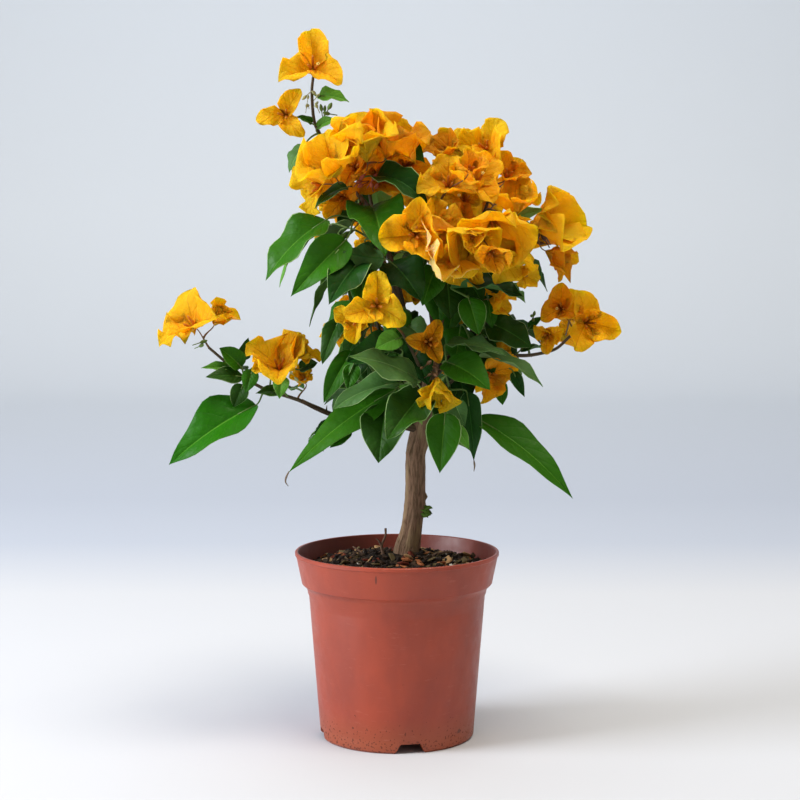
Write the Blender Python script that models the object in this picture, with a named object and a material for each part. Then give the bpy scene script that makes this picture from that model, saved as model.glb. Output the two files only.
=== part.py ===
"""A young golden bougainvillea bush in a round plastic nursery pot, at its real size.

The pot, its soil, the trunk and each bough are one solid each. The crown is grown as separate masses of
foliage. A mass is a stem from the tip of its bough or from the side of the trunk, twigs that spring from
the nearest wood already grown, and leaves and three-bract blooms fused to the ends of those twigs.
Sizes are in millimetres and are turned to metres where a vertex is placed. The origin is the middle of
the pot's foot, +Z is up, and the front of the plant looks along -Y.
"""

import math
import random
from dataclasses import dataclass, replace

import bmesh
import bpy
from mathutils import Matrix, Vector
from mathutils.bvhtree import BVHTree

MM = 0.001
GAP = 0.3  # between neighbours that touch in life
WELD = 0.01
ROOT = 1.0  # how deep a twig starts inside the wood it springs from
CLEAR = 0.5  # kept by a leaf or twig to what isn't its own mass
SEED = 27
GOLDEN_ANGLE = math.radians(137.5)

# Directions, as seen from the front
UP = (0, 0, 1)
FRONT = (0, -1, 0)
FRONT_UP = (0, -1, 0.8)
LEFT_FRONT = (-0.7, -0.8, 0.3)

# Pot
RIM_R = 75.0
POT_H = 137.4
WALL = 1.5
COLLAR_Z = 113.6
COLLAR_R = 70.0
WALL_TOP_R = 64.8
FOOT_R = 56.6
FOOT_LIFT = 7.0  # of the floor above the foot ring
FOOT_RING = 5.0
PAD_R = 18.0
FLOOR = 3.0
POT_SIDES = 32
NOTCHES = 4
NOTCH_TURN = 10.0  # degrees right of the front
NOTCH_FOOT_W = 22.0
NOTCH_TOP_W = 14.5

# Soil
SOIL_EDGE_Z = 124.0
SOIL_CROWN_Z = 133.5
SOIL_FLAT_R = 16.0  # level patch that the trunk's flat cut stands on

# Leaves, blooms and twigs
BLADE_THICK = 1 / 60  # of a blade's length
BLADE_THICK_LEAST = 0.9
LONG_LEAF = 44.0  # from here a leaf's outline has one more station
BRACT_WIDTH = 0.82  # of its length
BRACT_CROWD = 1.2  # half-width, at most, for each unit from the bloom's axis: the three never meet
STEM_R = 1.5
TWIG_R = 1.0
PETIOLE_R = 0.9
FLOWER_STALK_R = 1.0
HUB = 1.2  # half the height, and the radius, of the knot that a bloom's bracts spring from


@dataclass(frozen=True)
class Leaf:
    """One leaf: where its blade starts, its point, its width, and where its upper side looks."""

    base: tuple
    tip: tuple
    width: float
    face: tuple = FRONT_UP
    bend: float = 35.0


@dataclass(frozen=True)
class Bloom:
    """Three bracts round one eye: its place, where it looks, bract length, turn and opening in degrees."""

    at: tuple
    looks: tuple
    length: float
    spin: float = 0.0
    spread: float = 55.0
    bend: float = 30.0


@dataclass(frozen=True)
class Limb:
    """A tapering limb through its points, with the radius at each of them."""

    points: tuple
    radii: tuple
    sides: int = 6


@dataclass(frozen=True)
class Mass:
    """One mass of foliage: the bough it ends, its stem beyond that, its leaves and blooms, and what it fills."""

    bough: str  # or an empty text, where the stem springs from the side of the trunk
    stem: tuple
    leaves: tuple = ()
    blooms: tuple = ()
    fill_leaves: int = 0
    fill_blooms: int = 0
    low: tuple = (0, 0, 0)  # corners of the space that filling keeps to
    high: tuple = (0, 0, 0)


TRUNK = Limb(
    points=((8, 12, 133.8), (8, 12, 137), (9.6, 11.4, 146), (11.4, 10.5, 158), (13.2, 10, 172), (13.6, 9, 190),
            (13.9, 9, 208), (17, 9, 226), (21.5, 8, 252), (26, 7, 284)),
    radii=(10.6, 9.6, 8.3, 7.7, 7.5, 7.3, 7.3, 6.9, 6.3, 5.3),
    sides=10,
)
BUD_AT = (21.8, 8, 164.5)
BUD_SIZE = (3.6, 3.2, 5.2)

BOUGHS = {
    "bough_upper_right": Limb(((26.05, 6.99, 284.4), (26.5, 6.9, 288), (31, 4, 312), (37, 1, 332), (43, -1, 347)),
                              (4.9, 4.8, 4.2, 3.4, 2.6)),
    "bough_upper_left": Limb(((13.9, 6.5, 264), (9.5, 5, 288), (5, 3, 312), (-4, 0, 348), (-17, -1, 386)),
                             (2.9, 2.7, 2.5, 2.2, 1.9)),
    "bough_top": Limb(((-20.5, 1.5, 389), (-29, 3, 398), (-40, 3, 407), (-48, 1, 416)), (1.7, 1.6, 1.5, 1.3)),
    "bough_mid_left": Limb(((18.9, 1.2, 274), (9, -7, 300), (-3, -12, 332), (-14, -15, 360)), (2.6, 2.3, 2.1, 1.8)),
    "bough_low_left": Limb(((10.6, 5.3, 227.3), (-8, -2, 231), (-42, -9, 237), (-69, -16, 249)),
                           (2.4, 2.2, 1.9, 1.5)),
    "bough_low_right": Limb(((30.2, 8.2, 256), (45, 10, 264), (66, 12, 273), (84, 12, 279)), (2.4, 2.2, 1.8, 1.4)),
    "bough_back_upper": Limb(((28, 14.1, 284), (27, 26, 305), (22, 38, 335), (18, 44, 358)), (3.2, 2.8, 2.4, 2.0)),
    "bough_back_left": Limb(((15.9, 15.6, 246), (6, 28, 262), (-4, 42, 276), (-10, 52, 288)), (2.6, 2.3, 2.0, 1.7)),
    "bough_back_right": Limb(((24.3, 15.6, 262), (38, 28, 276), (50, 40, 288), (58, 48, 298)), (2.6, 2.3, 2.0, 1.7)),
}

MASSES = {
    "top_sprig": Mass(
        bough="bough_top",
        stem=((-54, -1, 437), (-59.5, -3, 450), (-61, -4, 470), (-60, -5, 481)),
        blooms=(
            Bloom((-60, -6, 487), (0, -0.8, 0.5), 28, 0, 76),
            Bloom((-80, -8, 454), (-0.1, -1, 0.1), 22, -30, 74),
        ),
        leaves=(
            Leaf((-56, -6, 467), (-34, -10, 463), 13, FRONT_UP, 60),
            Leaf((-57, -6, 445), (-44, -11, 451), 11),
            Leaf((-61, -6, 448), (-71, -10, 453), 8),
            Leaf((-66, -7, 433), (-77, -16, 413), 19, LEFT_FRONT),
        ),
    ),
    "upper_left": Mass(
        bough="bough_upper_left",
        stem=((-20, -2, 400), (-20, -3, 414)),
        blooms=(
            Bloom((-43, -36, 409), (-0.35, -0.7, 0.8), 35, 25, 50),
            Bloom((-21, -32, 420), (-0.1, -0.5, 1), 38, 0, 38),
            Bloom((-8, -22, 423), (0.4, -0.5, 0.9), 36, 10, 46),
            Bloom((-54, -24, 404), (-0.8, -0.7, -0.2), 25, 40, 62),
            Bloom((-12, 6, 402), (0.4, -0.6, 0.5), 24, 60, 55),
            Bloom((-30, 22, 424), (-0.4, 0.6, 0.8), 30, 30, 50),
            Bloom((2, 20, 424), (0.3, 0.6, 0.8), 30, 0, 50),
            Bloom((-46, 14, 398), (-0.9, 0.4, 0.2), 26, 0, 55),
        ),
        leaves=(
            Leaf((-15, -30, 409), (21, -44, 389), 27, (0.2, -0.9, 0.7), 95),
            Leaf((1, -20, 431), (20, -30, 419), 18, (0.2, -0.7, 0.7), 60),
            Leaf((-35, -30, 402), (-58, -38, 387), 16, (-0.4, -0.6, 0.8), 60),
        ),
        fill_leaves=3,
        low=(-58, -20, 340),
        high=(12, 38, 415),
    ),
    "left": Mass(
        bough="bough_mid_left",
        stem=((-18, -17, 368), (-20, -20, 374)),
        leaves=(
            Leaf((-50, -34, 379), (-92, -48, 337), 36, (-0.5, -0.7, 0.7), 40),
            Leaf((-36, -44, 365), (-74, -58, 326), 31, (0, -1, 0.3), 30),
            Leaf((-26, -42, 350), (-47, -72, 321), 33, (0.1, -0.6, 0.8), 40),
            Leaf((-23, -22, 349), (-26, -30, 328), 22, (0, -1, 0.3)),
            Leaf((-18, -20, 389), (-8, -66, 354), 44, (0, -0.6, 0.8), 50),
            Leaf((-9, -40, 352), (-38, -48, 357), 20, (0, 0.8, -0.4), 30),
            Leaf((-4, -24, 349), (17, -46, 323), 36, (0.1, -0.8, 0.6), 40),
        ),
        fill_leaves=6,
        low=(-85, -25, 298),
        high=(-2, 42, 385),
    ),
    "right": Mass(
        bough="bough_upper_right",
        stem=((53, -5, 366), (64, -8, 388), (68, -6, 408)),
        blooms=(
            Bloom((64, -10, 430), (-0.2, -0.8, 0.4), 25, -30, 68),
            Bloom((36, -16, 424), (-0.3, -0.6, 0.8), 20, 0, 50),
            Bloom((36, -40, 402), (0, -0.8, 0.6), 26, 0, 62),
            Bloom((56, -34, 404), (0.2, -0.8, 0.5), 26, -40, 62),
            Bloom((78, -14, 409), (0.2, -0.7, 0.6), 20, 20, 50),
            Bloom((84, -28, 382), (-0.1, -0.6, 1), 31, 10, 44),
            Bloom((100, -16, 371), (1, -0.6, 0.5), 38, 30, 46),
            Bloom((107, -10, 357), (0.9, -0.4, -0.4), 25, 60, 40),
            Bloom((86, -26, 342), (0.9, -0.6, -0.2), 18, 0, 50),
            Bloom((13, -62, 369), (-0.1, -1, 0.1), 27, -20, 68),
            Bloom((26, -54, 372), (0.3, -0.8, 0.6), 24, 0, 56),
            Bloom((24, -60, 350), (0.6, -0.8, 0.5), 34, 25, 52),
            Bloom((50, -58, 374), (0.05, -0.8, -0.6), 37, 180, 46),
            Bloom((66, -50, 380), (0.2, -0.8, -0.6), 38, 170, 46),
            Bloom((76, -40, 360), (0.2, -0.6, -0.9), 26, 60, 44),
            Bloom((48, -38, 350), (0, -0.5, -0.9), 20, 0, 50),
            Bloom((48, -14, 392), (0, -1, 0.3), 26, 60, 70),
            Bloom((52, 22, 420), (0, 0.7, 0.8), 28, 0, 52),
            Bloom((80, 20, 398), (0.6, 0.7, 0.5), 28, 40, 52),
            Bloom((98, 14, 372), (0.8, 0.6, 0.1), 26, 0, 55),
            Bloom((62, 28, 386), (0.1, 1, 0.2), 26, 20, 65),
        ),
        fill_leaves=4,
        low=(6, -35, 315),
        high=(112, 45, 415),
    ),
    "centre": Mass(
        bough="",
        stem=((20.9, 1.0, 262), (18, -18, 270), (12, -38, 284), (4, -50, 300)),
        blooms=(
            Bloom((-14, -64, 320), (0, -1, 0.2), 25, 0, 68),
            Bloom((-28, -58, 310), (-0.4, -1, -0.1), 18, 60, 62),
            Bloom((22, -52, 294), (0.1, -1, 0.1), 18, -35, 66),
            Bloom((28, -62, 270), (0.05, -0.55, -0.85), 25, 30, 34),
        ),
        leaves=(
            Leaf((6, -30, 306), (24, -40, 290), 22, (0, -0.8, 0.5)),
            Leaf((2, -40, 296), (-16, -46, 288), 20, (0, -0.7, 0.6)),
        ),
    ),
    "low_left": Mass(
        bough="",
        stem=((14.4, 3.5, 246), (6, -14, 254), (-4, -30, 262), (-16, -32, 270)),
        leaves=(
            Leaf((15, -50, 267), (-33, -78, 286), 30, (-0.1, -0.7, 0.8), 35),
            Leaf((1, -38, 288), (-35, -60, 280), 29, (0, -0.6, 0.8), 35),
            Leaf((-40, -30, 310), (-53, -36, 277), 17, (-0.4, -1, 0.2)),
            Leaf((-32, -30, 286), (-52, -40, 250), 19, (-0.2, -1, 0.3)),
            Leaf((-31, -38, 277), (-35, -42, 258), 14, FRONT),
            Leaf((1, -42, 264), (-45, -54, 247), 24, (-0.2, -0.6, 0.8), 45),
            Leaf((0, -30, 259), (-76, -62, 203), 30, (-0.4, -0.7, 0.6), 30),
            Leaf((17, -50, 256), (-7, -76, 228), 34, (0, -0.9, 0.5), 30),
            Leaf((-8, -42, 248), (-13, -64, 210), 35, (0, -0.9, 0.4), 30),
            Leaf((-44, -22, 236), (-60, -26, 226), 9),
            Leaf((-33, -28, 229), (-48, -32, 217), 11),
        ),
        fill_leaves=4,
        low=(-54, -45, 225),
        high=(18, 30, 318),
    ),
    "low_right": Mass(
        bough="",
        stem=((25.7, 2.1, 250), (38, -14, 262), (52, -20, 276), (58, -16, 296)),
        blooms=(
            Bloom((64, -10, 270), (0.5, -0.7, -0.3), 25, 50, 52),
            Bloom((67, -8, 322), (0.9, -0.4, -0.2), 18, 0, 50),
        ),
        leaves=(
            Leaf((34, -46, 243), (30, -58, 202), 29, (0, -1, 0.2), 25),
            Leaf((40, -42, 252), (48, -48, 234), 15, FRONT),
            Leaf((42, -46, 235), (51, -46, 218), 9, FRONT),
            Leaf((50, -26, 256), (55, -32, 207), 18, (0.2, -1, 0.1)),
            Leaf((35, -36, 279), (65, -58, 261), 30, (0.1, -0.8, 0.7), 40),
            Leaf((36, -30, 291), (77, -42, 284), 26, (0, -0.3, 1), 30),
            Leaf((59, -24, 282), (104, -34, 261), 22, (0.2, -0.3, 1), 45),
            Leaf((66, 4, 305), (98, -6, 287), 30, (0.2, -0.8, 0.6)),
            Leaf((84, -14, 270), (92, -18, 252), 10, FRONT),
            Leaf((51, -22, 324), (58, -36, 298), 21, (0, -1, 0.4), 25),
            Leaf((39, -22, 331), (90, -34, 325), 36, (0, -0.25, 1), 30),
            Leaf((73, 2, 262), (77, -4, 245), 13, (0.3, -1, 0.2)),
            Leaf((57, -20, 237), (125, -44, 182), 29, (0.4, -0.8, 0.6), 40),
            Leaf((65, 0, 325), (69, -4, 301), 16, (0.2, -1, 0.2)),
        ),
    ),
    "left_sprig": Mass(
        bough="bough_low_left",
        stem=((-80, -18, 253), (-95, -19, 258), (-110.5, -20, 267), (-124, -20, 278.5),
              (-135, -20, 288)),
        blooms=(
            Bloom((-144, -20, 302), (-0.5, -0.7, 0.6), 31, 30, 56),
            Bloom((-131, -20, 304), (0.6, -0.5, 0.9), 20, 0, 40),
            Bloom((-84, -26, 272), (0, -0.7, 0.8), 31, 60, 52),
            Bloom((-72, -18, 281), (0.5, -0.6, 0.7), 19, 0, 55),
            Bloom((-66, -14, 262), (-0.3, -0.6, 0.8), 14, 0, 45),
        ),
        leaves=(
            Leaf((-101, -24, 247), (-162, -42, 206), 41, (-0.3, -0.8, 0.6), 30),
            Leaf((-112, -20, 274), (-127, -24, 288), 17, FRONT_UP),
            Leaf((-110, -16, 279), (-107, -14, 295), 10, FRONT_UP),
            Leaf((-120, -20, 273), (-140, -28, 274), 9, FRONT_UP),
            Leaf((-111, -22, 267), (-136, -34, 268), 14, FRONT_UP),
            Leaf((-110, -27, 262), (-117, -28, 246), 15, FRONT),
            Leaf((-103, -29, 273), (-108, -32, 256), 13, FRONT),
            Leaf((-82, -28, 268), (-84, -32, 252), 14, FRONT),
            Leaf((-84, -24, 257), (-101, -30, 256), 11, FRONT_UP),
            Leaf((-70, -16, 272), (-57, -18, 277), 13, FRONT_UP),
            Leaf((-92, -10, 266), (-100, 8, 276), 18, (-0.3, 0.6, 0.8)),
            Leaf((-76, -8, 258), (-78, 14, 254), 20, (0, 0.6, 0.8)),
            Leaf((-112, -14, 272), (-122, 4, 274), 16, (0, 0.6, 0.8)),
        ),
    ),
    "right_sprig": Mass(
        bough="bough_low_right",
        stem=((97, 14, 280), (109, 16, 282), (118, 18, 285), (126, 20, 292), (132, 19, 298)),
        blooms=(
            Bloom((139, 14, 304), (0.2, -1, 0.1), 27, 20, 66),
            Bloom((121, 17, 314), (-0.2, -0.9, 0.3), 20, 0, 60),
            Bloom((111, 13, 296), (-0.2, -1, -0.4), 16, 50, 56),
            Bloom((128, 28, 306), (0.2, 0.9, 0.5), 22, 20, 60),
        ),
        leaves=(
            Leaf((91, 11, 284), (101, 7, 288), 9),
            Leaf((97, 14, 300), (107, 10, 309), 8),
            Leaf((98, 20, 284), (110, 34, 284), 16, UP),
        ),
    ),
    "back_upper": Mass(
        bough="bough_back_upper",
        stem=((16, 49, 370), (18, 52, 384), (22, 50, 396)),
        fill_leaves=15,
        fill_blooms=8,
        low=(-48, 12, 318),
        high=(82, 112, 428),
    ),
    "back_left": Mass(
        bough="bough_back_left",
        stem=((-14, 57, 298), (-16, 56, 310)),
        fill_leaves=15,
        fill_blooms=4,
        low=(-52, 12, 232),
        high=(20, 108, 348),
    ),
    "back_right": Mass(
        bough="bough_back_right",
        stem=((62, 53, 305), (64, 52, 314)),
        fill_leaves=15,
        fill_blooms=4,
        low=(18, 12, 244),
        high=(102, 108, 348),
    ),
    "back_low": Mass(
        bough="",
        stem=((14.6, 16.6, 222), (14, 30, 230), (16, 42, 242)),
        fill_leaves=9,
        low=(-28, 14, 200),
        high=(62, 96, 276),
    ),
}


def clear_scene():
    for thing in list(bpy.data.objects):
        bpy.data.objects.remove(thing, do_unlink=True)


def material(name, colour, roughness):
    made = bpy.data.materials.new(name)
    made.use_nodes = True
    made.diffuse_color = (*colour, 1)
    shader = made.node_tree.nodes["Principled BSDF"]
    shader.inputs["Base Color"].default_value = (*colour, 1)
    shader.inputs["Roughness"].default_value = roughness
    return made


def named_object(name, bm, finish, smooth=True):
    """An object made from a mesh under work, shaded smooth between its sharp edges."""
    bmesh.ops.recalc_face_normals(bm, faces=bm.faces)
    mesh = bpy.data.meshes.new(name)
    bm.to_mesh(mesh)
    bm.free()
    mesh.materials.append(finish)
    if smooth:
        mesh.shade_smooth()
        mesh.set_sharp_from_angle(angle=math.radians(35))
    made = bpy.data.objects.new(name, mesh)
    bpy.context.scene.collection.objects.link(made)
    return made


def turned(bm, profile):
    """Spins a profile of (radius, height) pairs about Z, closed where it starts and ends on the axis."""
    verts = [bm.verts.new((r * MM, 0, z * MM)) for r, z in profile]
    edges = [bm.edges.new(pair) for pair in zip(verts, verts[1:])]
    bmesh.ops.spin(bm, geom=verts + edges, axis=(0, 0, 1), cent=(0, 0, 0), angle=math.tau,
                   steps=POT_SIDES, use_merge=True)
    bmesh.ops.remove_doubles(bm, verts=bm.verts, dist=0.01 * MM)


def pot_profile():
    """From the middle of the underside, up the outer wall, over the rim and down inside."""
    ring_in = FOOT_R - FOOT_RING
    outside = [(0, 0), (PAD_R, 0), (PAD_R + 1, FOOT_LIFT), (ring_in - 1, FOOT_LIFT), (ring_in, 0),
               (FOOT_R - 1.4, 0), (FOOT_R, 1.6), (WALL_TOP_R, 106), (WALL_TOP_R + 2.2, 111.5), (COLLAR_R, COLLAR_Z),
               (RIM_R - 0.4, POT_H - 2), (RIM_R - 0.6, POT_H), (RIM_R - 2.1, POT_H)]
    inside = [(COLLAR_R - 0.6, COLLAR_Z + 3), (WALL_TOP_R - WALL, 106), (FOOT_R - WALL + 0.5, FOOT_LIFT + FLOOR),
              (0, FOOT_LIFT + FLOOR)]
    return outside + inside


def notch_cutter(number):
    """A trapezium block through the foot ring, hidden, for the Boolean."""
    bm = bmesh.new()
    bmesh.ops.create_cube(bm, size=1)
    reach = (FOOT_R - FOOT_RING - 4, FOOT_R + 4)
    for vert in bm.verts:
        wide = NOTCH_TOP_W if vert.co.z > 0 else NOTCH_FOOT_W + 1.2
        height = FOOT_LIFT - 0.2 if vert.co.z > 0 else -1.0
        vert.co = Vector((math.copysign(wide / 2, vert.co.x), -reach[vert.co.y < 0], height)) * MM
    turn = math.radians(NOTCH_TURN + number * 360 / NOTCHES)
    bmesh.ops.rotate(bm, verts=bm.verts, cent=(0, 0, 0), matrix=Matrix.Rotation(turn, 3, "Z"))
    cutter = named_object(f"notch_cutter_{number}", bm, bpy.data.materials["terracotta plastic"], smooth=False)
    cutter.hide_render = True
    cutter.display_type = "WIRE"
    return cutter


def make_pot(finish):
    bm = bmesh.new()
    turned(bm, pot_profile())
    pot = named_object("pot", bm, finish)
    for number in range(NOTCHES):
        cut = pot.modifiers.new(f"foot notch {number}", "BOOLEAN")
        cut.operation = "DIFFERENCE"
        cut.object = notch_cutter(number)
    return pot


def inner_radius(z):
    """Of the pot's inside at a height under the collar or within it."""
    floor_r = FOOT_R - WALL + 0.5
    low, high = FOOT_LIFT + FLOOR, 106
    if z <= high:
        return floor_r + (WALL_TOP_R - WALL - floor_r) * (z - low) / (high - low)
    return WALL_TOP_R - WALL + (COLLAR_R - 0.6 - WALL_TOP_R + WALL) * min(1, (z - high) / (COLLAR_Z + 3 - high))


def make_soil(finish):
    bottom = FOOT_LIFT + FLOOR + GAP
    bend = 106
    profile = [(0, bottom), (inner_radius(bottom) - 0.6, bottom), (inner_radius(bend) - 0.6, bend),
               (inner_radius(SOIL_EDGE_Z - 3) - 0.8, SOIL_EDGE_Z - 3), (inner_radius(SOIL_EDGE_Z) - 2, SOIL_EDGE_Z),
               (46, SOIL_EDGE_Z + 5), (SOIL_FLAT_R + 10, SOIL_CROWN_Z), (0, SOIL_CROWN_Z)]
    bm = bmesh.new()
    turned(bm, profile)
    return named_object("soil", bm, finish)


def smooth_path(points, steps):
    """A Catmull-Rom curve through the points, with so many steps between each two."""
    knots = [Vector(point) for point in points]
    knots = [2 * knots[0] - knots[1]] + knots + [2 * knots[-1] - knots[-2]]
    path = []
    for before, start, end, after in zip(knots, knots[1:], knots[2:], knots[3:]):
        for step in range(steps):
            t = step / steps
            path.append(0.5 * (2 * start + (end - before) * t + (2 * before - 5 * start + 4 * end - after) * t ** 2
                               + (3 * start - before - 3 * end + after) * t ** 3))
    return path + [knots[-2]]


def along(values, count):
    """The values stretched evenly over a number of places."""
    spread = []
    for index in range(count):
        place = index * (len(values) - 1) / (count - 1)
        low = min(int(place), len(values) - 2)
        spread.append(values[low] + (values[low + 1] - values[low]) * (place - low))
    return spread


def frames(path, hint):
    """The onward and upward directions at each place, carried back from the end so that they never twist."""
    found = []
    upward = hint
    for index in reversed(range(len(path))):
        onward = (path[min(index + 1, len(path) - 1)] - path[max(index - 1, 0)]).normalized()
        upward = (upward - upward.dot(onward) * onward).normalized()
        found.append((onward, upward))
    return found[::-1]


def ring(bm, sides, centre, across, upward):
    """A loop of vertices round a place, its first one on the upward side."""
    verts = bmesh.ops.create_circle(bm, segments=sides, radius=1)["verts"]
    for vert in verts:
        vert.co = (centre + across * vert.co.x + upward * vert.co.y) * MM
    return verts


def skin(bm, rings):
    """Joins loops of vertices one after another."""
    for one, two in zip(rings, rings[1:]):
        edges = {edge for vert in one + two for edge in vert.link_edges if not edge.link_faces or len(edge.link_faces) == 1}
        loops = [edge for edge in edges if all(v in one for v in edge.verts) or all(v in two for v in edge.verts)]
        bmesh.ops.bridge_loops(bm, edges=loops)


def tube_rings(bm, path, radii, sides, hint):
    rings = []
    for centre, radius, (onward, upward) in zip(path, radii, frames(path, hint)):
        rings.append(ring(bm, sides, centre, onward.cross(upward) * radius, upward * radius))
    return rings


def tube(bm, path, radii, sides):
    """A tapering tube with flat ends, its rings square to the path."""
    rings = tube_rings(bm, path, radii, sides, (path[-1] - path[0]).orthogonal().normalized())
    skin(bm, rings)
    for end in (rings[0], rings[-1]):
        bmesh.ops.contextual_create(bm, geom=end)


def leaf_outline(t):
    """Half-width at a share of the length, of the widest: round at the base, drawn out to a point."""
    return (t ** 0.55 * (1 - t) ** 0.9) / 0.382


def bract_outline(t):
    return (t ** 0.42 * (1 - t) ** 0.55) / 0.511


def arched(base, tip, face, bend, t):
    """A place on a blade's arched midline, with the side and upward directions there."""
    chord = tip - base
    onward = chord.normalized()
    normal = (face - face.dot(onward) * onward).normalized()
    arc = math.radians(bend)
    angle = arc * (t - 0.5)
    ahead = 0.5 + math.sin(angle) / (2 * math.sin(arc / 2))
    rise = (math.cos(angle) - math.cos(arc / 2)) / (2 * math.sin(arc / 2))
    centre = base + chord * ahead + normal * (rise * chord.length)
    return centre, onward.cross(normal), (normal * math.cos(angle) + onward * math.sin(angle)).normalized()


def thickness_of(length):
    return max(length * BLADE_THICK, BLADE_THICK_LEAST)


def leaf_on_stalk(bm, leaf, path, radii, swell=0.0):
    """A three-sided stalk that runs on as the blade: flat above, with a keel along its rib below."""
    base, tip, face = Vector(leaf.base), Vector(leaf.tip), Vector(leaf.face)
    length = (tip - base).length
    stations = (0.14, 0.42, 0.74) if length > LONG_LEAF else (0.24, 0.66)
    _, _, upward = arched(base, tip, face, leaf.bend, 0)
    rings = tube_rings(bm, path, [radius + swell / 2 for radius in radii], 3, -upward)
    for t in stations:
        centre, side, upward = arched(base, tip, face, leaf.bend, t)
        half = leaf.width / 2 * leaf_outline(t) + swell / 2
        deep = thickness_of(length) + swell
        rings.append(ring(bm, 3, centre - upward * deep / 3, side * (half / math.sin(math.pi / 3)), -upward * deep / 1.5))
    rings.append(ring(bm, 3, tip, side * 0.1, upward * 0.1))
    skin(bm, rings)
    bmesh.ops.contextual_create(bm, geom=rings[0])
    bmesh.ops.pointmerge(bm, verts=rings[-1], merge_co=tip * MM)


def bracts_of(bloom):
    """The directions and upper sides of a bloom's three bracts, and the direction to each corner between them."""
    looks = Vector(bloom.looks).normalized()
    upright = Vector(UP) if abs(looks.z) < 0.97 else Vector(FRONT)
    level = (upright - upright.dot(looks) * looks).normalized()
    spread = math.radians(bloom.spread)
    for number in range(3):
        out = Matrix.Rotation(math.radians(bloom.spin + 120 * number), 3, looks) @ level
        yield looks * math.cos(spread) + out * math.sin(spread), looks * math.sin(spread) - out * math.cos(spread), out


def bloom_on_stalk(bm, bloom, path, radii, swell=0.0):
    """A three-sided stalk that ends in a small hub, with a bract pulled out of each of the hub's sides."""
    looks = Vector(bloom.looks).normalized()
    at = Vector(bloom.at)
    bracts = list(bracts_of(bloom))
    path = path[:-1] + [at - looks * HUB, at + looks * HUB]
    radii = [radius + swell / 2 for radius in radii] + [HUB + swell / 2]
    rings = tube_rings(bm, path, radii, 3, -bracts[0][2])
    skin(bm, rings)
    for end in (rings[0], rings[-1]):
        bmesh.ops.contextual_create(bm, geom=end)
    corners = set(rings[-1] + rings[-2])
    sides = [face for face in {f for v in rings[-1] for f in v.link_faces} if corners.issuperset(face.verts) and
             len(face.verts) == 4]
    for face in sides:
        facing = face.calc_center_median() / MM - at
        direction, inward, _ = max(bracts, key=lambda bract: bract[2].dot(facing))
        tip = at + direction * bloom.length
        for t in (0.28, 0.76, 1.0):
            centre, side, upward = arched(at, tip, inward, bloom.bend, t)
            from_axis = (centre - at - looks * (centre - at).dot(looks)).length
            half = min(bloom.length * BRACT_WIDTH / 2 * bract_outline(t), from_axis * BRACT_CROWD) + swell / 2
            half *= t < 1
            deep = (thickness_of(bloom.length) + swell) / 2 * (t < 1)
            before = {vert: vert.co / MM - at for vert in face.verts}
            middle = sum(before.values(), Vector()) / 4
            face = bmesh.ops.extrude_discrete_faces(bm, faces=[face])["faces"][0]
            for vert in face.verts:
                away = vert.co / MM - at - middle
                vert.co = (centre + side * math.copysign(half, away.dot(side))
                           + upward * math.copysign(deep, away.dot(upward))) * MM
        bmesh.ops.pointmerge(bm, verts=face.verts, merge_co=tip * MM)


def tree_of(build):
    """A search tree over what a function builds in an empty mesh."""
    bm = bmesh.new()
    build(bm)
    tree = BVHTree.FromBMesh(bm)
    bm.free()
    return tree


def stem_path(mass):
    """The stem's places: where it ends a bough, it carries straight on from the bough's tip, just clear of it."""
    path = [Vector(point) for point in mass.stem]
    if mass.bough:
        before, tip = (Vector(point) for point in BOUGHS[mass.bough].points[-2:])
        onward = (tip - before).normalized()
        path = [tip + onward * (GAP + 0.1), tip + onward * 3] + path
    return path


def free(tree, others):
    return not any(tree.overlap(other) for other in others)


def folded(build):
    """Whether a shape runs through itself, as at a stalk's too tight bend."""
    bm = bmesh.new()
    build(bm)
    bm.faces.ensure_lookup_table()
    tree = BVHTree.FromBMesh(bm)
    met = any(set(bm.faces[one].verts).isdisjoint(bm.faces[two].verts) for one, two in tree.overlap(tree))
    bm.free()
    return met


def moved(thing, shift):
    """The same leaf or bloom, put that much further back."""
    step = Vector((0, shift, 0))
    if isinstance(thing, Leaf):
        return replace(thing, base=tuple(Vector(thing.base) + step), tip=tuple(Vector(thing.tip) + step))
    return replace(thing, at=tuple(Vector(thing.at) + step))


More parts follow.
